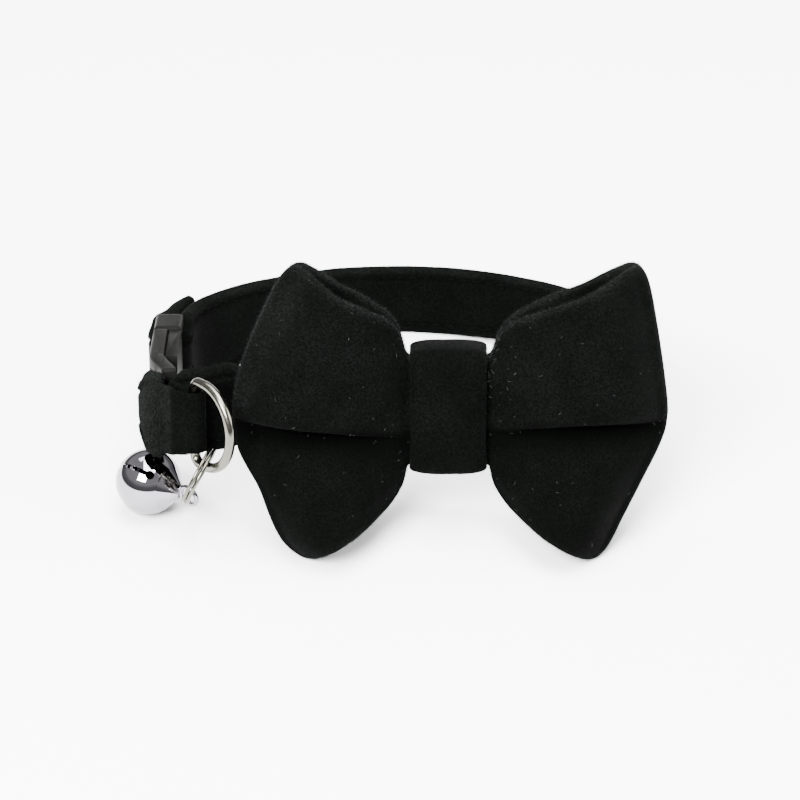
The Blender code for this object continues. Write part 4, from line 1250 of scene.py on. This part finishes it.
def d_outline():
    """Points of the D as (distance from the bar, height), from the joint round to the joint."""
    points = []
    for i in range(49):
        angle = pi / 2 - pi * i / 48
        points.append((d_start + (d_reach - d_start) * cos(angle), d_half * sin(angle)))
    for i in range(9):
        angle = pi / 2 * i / 8
        points.append((D_CORNER * (1 - sin(angle)), -d_half + D_CORNER * (1 - cos(angle))))
    points += [(0.0, lerp(-d_half + D_CORNER, d_half - D_CORNER, i / 8)) for i in range(1, 8)]
    for i in range(9):
        angle = pi / 2 * i / 8
        points.append((D_CORNER * (1 - cos(angle)), d_half - D_CORNER * (1 - sin(angle))))
    points += [(lerp(D_CORNER, d_start - 0.00012, i / 4), d_half) for i in range(1, 5)]
    return points


d_ring = wire("nickel_d_ring", [COLLAR @ (d_base + d_along * e + Vector((0, 0, z))) for e, z in d_outline()],
              D_WIRE / 2, 28, nickel)
finish_piece(d_ring, nickel, ["d_ring"])
sharp_edges(d_ring, 50)

# %% [markdown]
# ## Split ring
# The split ring is a flat coil of nearly two turns of spring wire. It hangs from the lowest part of
# the D-ring, and its edge faces the viewer, so it shows as two thin parallel wires.

# %% Where the ring and the bell hang
RING_SIZE = 0.0121
RING_WIRE = 0.0007
BELL_RADIUS = 0.00625
LOOP_RADIUS = 0.0019
LOOP_WIRE = 0.0009
NECK = 0.0016
facing = Vector((0, -cos(radians(36)), sin(radians(36))))


def from_angles(rise, turn):
    return Vector((cos(rise) * cos(turn), cos(rise) * sin(turn), sin(rise)))


link_angle = radians(-95.0)
link_reach = d_start + (d_reach - d_start) * cos(link_angle)
link = COLLAR @ (d_base + d_along * link_reach + Vector((0, 0, d_half * sin(link_angle))))
ring_radius = (RING_SIZE - RING_WIRE) / 2
reach_down = 2 * ring_radius - (D_WIRE / 2 + GAP + 0.0012 + RING_WIRE / 2)
loop_reach = BELL_RADIUS + NECK + LOOP_RADIUS
drop = link.z - BELL_RADIUS
lift = max(0.0, drop - 0.92 * reach_down)
to_link = from_angles(asin(min((drop - lift) / reach_down, 1.0)), radians(-20.0))
bell_axis = from_angles(asin(min(lift / loop_reach, 1.0)), radians(-36.0))
loop_place = link - to_link * reach_down
bell_centre = loop_place - bell_axis * loop_reach
coil_axis = to_link.cross(facing).normalized()
coil_across = coil_axis.cross(to_link).normalized()

# %% Make the split ring
COIL_TURNS = 1.9
COIL_PITCH = 1.12 * RING_WIRE
COIL_START = radians(200.0)
COIL_STEPS = 122
coil = []
coil_centre = loop_place + to_link * ring_radius
for i in range(COIL_STEPS + 1):
    share = i / COIL_STEPS
    angle = 2 * pi * COIL_TURNS * share + COIL_START
    turned = to_link * cos(angle) + coil_across * sin(angle)
    coil.append(coil_centre + turned * ring_radius + coil_axis * (COIL_PITCH * COIL_TURNS * (share - 0.5)))
split_ring = wire("nickel_split_ring", coil, RING_WIRE / 2, 14, nickel)
finish_piece(split_ring, nickel, ["split_ring"])
sharp_edges(split_ring, 50)

# %% [markdown]
# ## The bell
# A jingle bell is a thin pressed ball with a slot across its lower half, a round hole at each end of
# the slot, and a loop on a short neck. A dense sphere hollowed by a smaller one gives the shell, and
# the slot and holes go through it. Chrome shows every facet, so the sphere has many.

# %% Make the bell
BELL_WALL = 0.0005
HALF_SLOT = 0.0004
HOLE_RADIUS = 0.00085
PELLET_RADIUS = 0.0017
hole_aim = Vector((0.106, -0.674, 0.731))
face = (hole_aim - bell_axis * hole_aim.dot(bell_axis)).normalized()
hole_rise = asin(hole_aim.normalized().dot(bell_axis))
bell_turn = Matrix((bell_axis.cross(face), face, bell_axis)).transposed()


def round_solid(name, maker, matrix=Matrix(), **sizes):
    obj = add_object(name, bpy.data.meshes.new(name))
    edit_mesh(obj, lambda shape: maker(shape, matrix=matrix, **sizes))
    return obj


def rod(name, matrix, segments, radius, far_radius, length):
    return round_solid(name, bmesh.ops.create_cone, matrix, cap_ends=True, segments=segments,
                       radius1=radius, radius2=far_radius, depth=length)


ball = bmesh.ops.create_uvsphere
bell = round_solid("chrome_bell", ball, u_segments=128, v_segments=80, radius=BELL_RADIUS)
combine(bell, rod("neck", Matrix.Translation((0, 0, 0.0061)), 64, 0.0044, 0.0010, 0.0035), "UNION")
combine(bell, round_solid("hollow", ball, u_segments=64, v_segments=40, radius=BELL_RADIUS - BELL_WALL))
cut_box(bell, (-HALF_SLOT, -0.010, -0.010), (HALF_SLOT, 0.010, BELL_RADIUS * sin(hole_rise)))
for side in (1, -1):
    outwards = Vector((0, side * cos(hole_rise), sin(hole_rise)))
    aim = Matrix.Translation(outwards * BELL_RADIUS) @ outwards.to_track_quat("Z", "Y").to_matrix().to_4x4()
    combine(bell, rod("hole", aim, 40, HOLE_RADIUS, HOLE_RADIUS, 0.004))
bevel(bell, 0.00008, 1, 50.0)
place_in_world(bell, Matrix.Translation(bell_centre) @ bell_turn.to_4x4())
loop_face = (coil_across - bell_axis * coil_across.dot(bell_axis)).normalized()
loop_side = bell_axis.cross(loop_face)
loop_points = []
for i in range(48):
    angle = 2 * pi * i / 48
    rise = BELL_RADIUS + NECK + LOOP_RADIUS * (1 + sin(angle))
    loop_points.append(bell_centre + bell_axis * rise + loop_side * (LOOP_RADIUS * cos(angle)))
bell_loop = wire("chrome_bell_loop", loop_points, LOOP_WIRE / 2, 16, chrome, True)
finish_piece(bell, chrome, ["bell"])
sharp_edges(bell, 40)
finish_piece(bell_loop, chrome)

pellet = round_solid("nickel_pellet", bmesh.ops.create_icosphere, subdivisions=3, radius=PELLET_RADIUS)
pellet_drop = BELL_RADIUS - BELL_WALL - GAP - PELLET_RADIUS
place_in_world(pellet, Matrix.Translation(bell_centre - Vector((0, 0, pellet_drop))))
finish_piece(pellet, nickel, ["bell_pellet"])

# %% [markdown]
# ## Stitches
# Both edges of the strap are topstitched in black thread. Each stitch is the same small lens of
# thread, so a Geometry Nodes tree places one at even steps along the four rows, turned with the path.

# %% Tree for stitches
def make_stitch_tree():
    tree, start, end = start_tree("stitches_along_path", "Path", ("Step", "Float", 0.0026),
                                  ("Length", "Float", 0.0018), ("Thread", "Float", 0.00030))
    curve = add_node(tree, "GeometryNodeMeshToCurve", {"Mesh": start["Path"]})
    points = add_node(tree, "GeometryNodeCurveToPoints",
                      {"Curve": curve.outputs["Curve"], "Length": start["Step"]}, mode="LENGTH")
    lens = add_node(tree, "GeometryNodeMeshUVSphere", {"Segments": 6, "Rings": 5, "Radius": 0.5})
    size = add_node(tree, "ShaderNodeCombineXYZ",
                    {"X": start["Thread"], "Y": start["Thread"], "Z": start["Length"]})
    place = add_node(tree, "GeometryNodeInstanceOnPoints",
                     {"Points": points.outputs["Points"], "Rotation": points.outputs["Rotation"],
                      "Instance": lens.outputs["Mesh"], "Scale": size.outputs["Vector"]})
    return end_tree(tree, start, end, place.outputs["Instances"])


# %% Sew the strap
def stitch_rows():
    """Paths on the cloth, along both stitch lines and on both sides of the strap."""
    normals = grid_normals(strap_middle, False)
    rows = []
    for is_upper in (True, False):
        for side in (1, -1):
            row = []
            for i in range(first_bar + 3, last_bar - 3):
                column = strap_middle[i]
                half = range(len(column) // 2, len(column)) if is_upper else range(len(column) // 2)
                k = min(half, key=lambda n: abs(from_edge(i, n) - (EDGE_LINE - STITCH_LINE)))
                off_middle = side * (strap_thickness(i, k) / 2 - 0.00003)
                row.append(COLLAR @ (column[k] + normals[i][k] * off_middle))
            rows.append(row)
    return rows


stitches = run_tree(path_piece("strap_stitches", stitch_rows()), make_stitch_tree(),
                    Step=0.0026, Length=0.0019, Thread=0.00030, Finish=thread)
finish_piece(stitches, thread)

# %% [markdown]
# ## Pile and lint
# Velvet has no sharp edge: its pile stands off the cloth as a fine fuzz. A Geometry Nodes tree plants
# a short tapered fibre at seeded random points, leaning a little, more densely where the painted light
# is higher and only above a least value of it. The rim fibres and the glinting fibres take the paler copy
# of the velvet, a painted highlight. A few pale curled fibres of lint lie on top, as on any black velvet.

# %% Tree for pile
def make_fuzz_tree():
    tree, start, end = start_tree(
        "pile_fibres", "Cloth", ("Density", "Float", 4.0e6), ("Length", "Float", 0.0005),
        ("Width", "Float", 0.00003), ("Lean", "Float", 0.5), ("Seed", "Int", 7), ("Least painted light", "Float", 0.0))
    painted_light = add_node(tree, "GeometryNodeInputNamedAttribute", {"Name": "painted_light"}, data_type="FLOAT")
    over_least_light = add_math(tree, "SUBTRACT", painted_light.outputs["Attribute"], start["Least painted light"])
    # Fibres grow denser where the painted light is higher.
    density = add_math(tree, "MULTIPLY", add_math(tree, "MAXIMUM", over_least_light, 0.0), start["Density"])
    scatter = add_node(tree, "GeometryNodeDistributePointsOnFaces",
                       {"Mesh": start["Cloth"], "Density": density, "Seed": start["Seed"]},
                       distribute_method="RANDOM")
    fibre = add_node(tree, "GeometryNodeMeshCone",
                     {"Vertices": 3, "Radius Top": 0.0, "Radius Bottom": 1.0, "Depth": 1.0})
    lean = add_node(tree, "FunctionNodeRandomValue",
                    {"Min": (-1, -1, -1), "Max": (1, 1, 1), "Seed": start["Seed"]}, data_type="FLOAT_VECTOR")
    spread = add_node(tree, "ShaderNodeVectorMath", {0: lean.outputs[0], "Scale": start["Lean"]},
                      operation="SCALE")
    tilted = add_node(tree, "ShaderNodeVectorMath",
                      {0: scatter.outputs["Normal"], 1: spread.outputs["Vector"]}, operation="ADD")
    turn = add_node(tree, "FunctionNodeAlignRotationToVector", {"Vector": tilted.outputs["Vector"]}, axis="Z")
    share = add_node(tree, "FunctionNodeRandomValue", {"Min": 0.45, "Max": 1.0}, data_type="FLOAT")
    length = add_math(tree, "MULTIPLY", share.outputs[1], start["Length"])
    size = add_node(tree, "ShaderNodeCombineXYZ", {"X": start["Width"], "Y": start["Width"], "Z": length})
    place = add_node(tree, "GeometryNodeInstanceOnPoints",
                     {"Points": scatter.outputs["Points"], "Rotation": turn.outputs["Rotation"],
                      "Instance": fibre.outputs["Mesh"], "Scale": size.outputs["Vector"]})
    return end_tree(tree, start, end, place.outputs["Instances"])


# %% Plant the pile
FUZZ = make_fuzz_tree()
PILE_PAINTED_LIGHT = 1.3


def add_pile(cloth, name, density, length, seed, material, least_light):
    copy = add_object(name, cloth.data.copy())
    run_tree(copy, FUZZ, Density=density, Length=length, Width=0.000022, Lean=0.55, Seed=seed,
             Finish=material, **{"Least painted light": least_light})
    if copy.data.attributes.get("painted_light"):
        copy.data.attributes.remove(copy.data.attributes["painted_light"])
    # The fibres carry a fixed painted light, lighter than the cloth's faces.
    set_painted_light(copy, lambda p: PILE_PAINTED_LIGHT)
    rest_on_table(copy)
    finish_piece(copy, material)


PILES = (
    # cloth, name, fibres per square metre, length, seed, finish, least painted light
    (bow, "bow_pile", 3.0e6, 0.00050, 7, velvet, 0.0),
    (bow, "bow_speckle", 0.20e6, 0.00050, 13, velvet_highlight_copy, 0.0),
    (bow, "bow_rim_fuzz", 9.0e6, 0.00065, 11, velvet_highlight_copy, 1.10),
    (knot, "knot_pile", 3.0e6, 0.00050, 8, velvet, 0.0),
    (knot, "knot_speckle", 0.25e6, 0.00050, 14, velvet_highlight_copy, 0.0),
    (strap, "strap_pile", 2.2e6, 0.00050, 9, velvet, 0.0),
    (strap, "strap_rim_fuzz", 1.6e6, 0.00055, 12, velvet_highlight_copy, 1.0),
    (keeper, "keeper_pile", 3.0e6, 0.00040, 10, velvet, 0.0),
)
for row in PILES:
    add_pile(*row)


# %% Lint
def lint_paths():
    picks = random.Random(31)
    front = [v for v in bow.data.vertices if v.normal.dot(camera_back) > 0.25]
    near_knot = [v for v in front if 0.0158 < v.co.x < 0.0230 and v.co.z > 0.0280]
    paths = []
    for count, choice, size in ((240, front, 0.00055), (26, near_knot, 0.0009)):
        for _ in range(count):
            vertex = picks.choice(choice)
            start = vertex.co + vertex.normal * 0.00045
            heading = Vector([picks.uniform(-1, 1) for _ in range(3)])
            heading = (heading - vertex.normal * heading.dot(vertex.normal) * 0.7).normalized()
            bend = Vector([picks.uniform(-1, 1) for _ in range(3)]) * 0.6
            length = size * picks.uniform(0.4, 1.3)
            paths.append([start + heading * (length * t) + bend * (length * t * t)
                          for t in (-0.5, -0.2, 0.1, 0.35, 0.5)])
    return paths


lint_fibres = run_tree(path_piece("lint_fibres", lint_paths()), WIRE, Radius=0.000022, Sides=3, Finish=lint)
finish_piece(lint_fibres, lint)

# %% [markdown]
# The boxes of the imported and the dressed model are printed side by side. The dressed model may stand
# proud of the imported one only by what soft cloth needs.

# %% Print the sizes and finish
full_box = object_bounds()
for name, box in (("packed", cad_box), ("dressed", full_box)):
    print(name, "size in mm:", [round((high - low) * 1000, 2) for low, high in zip(*box)])
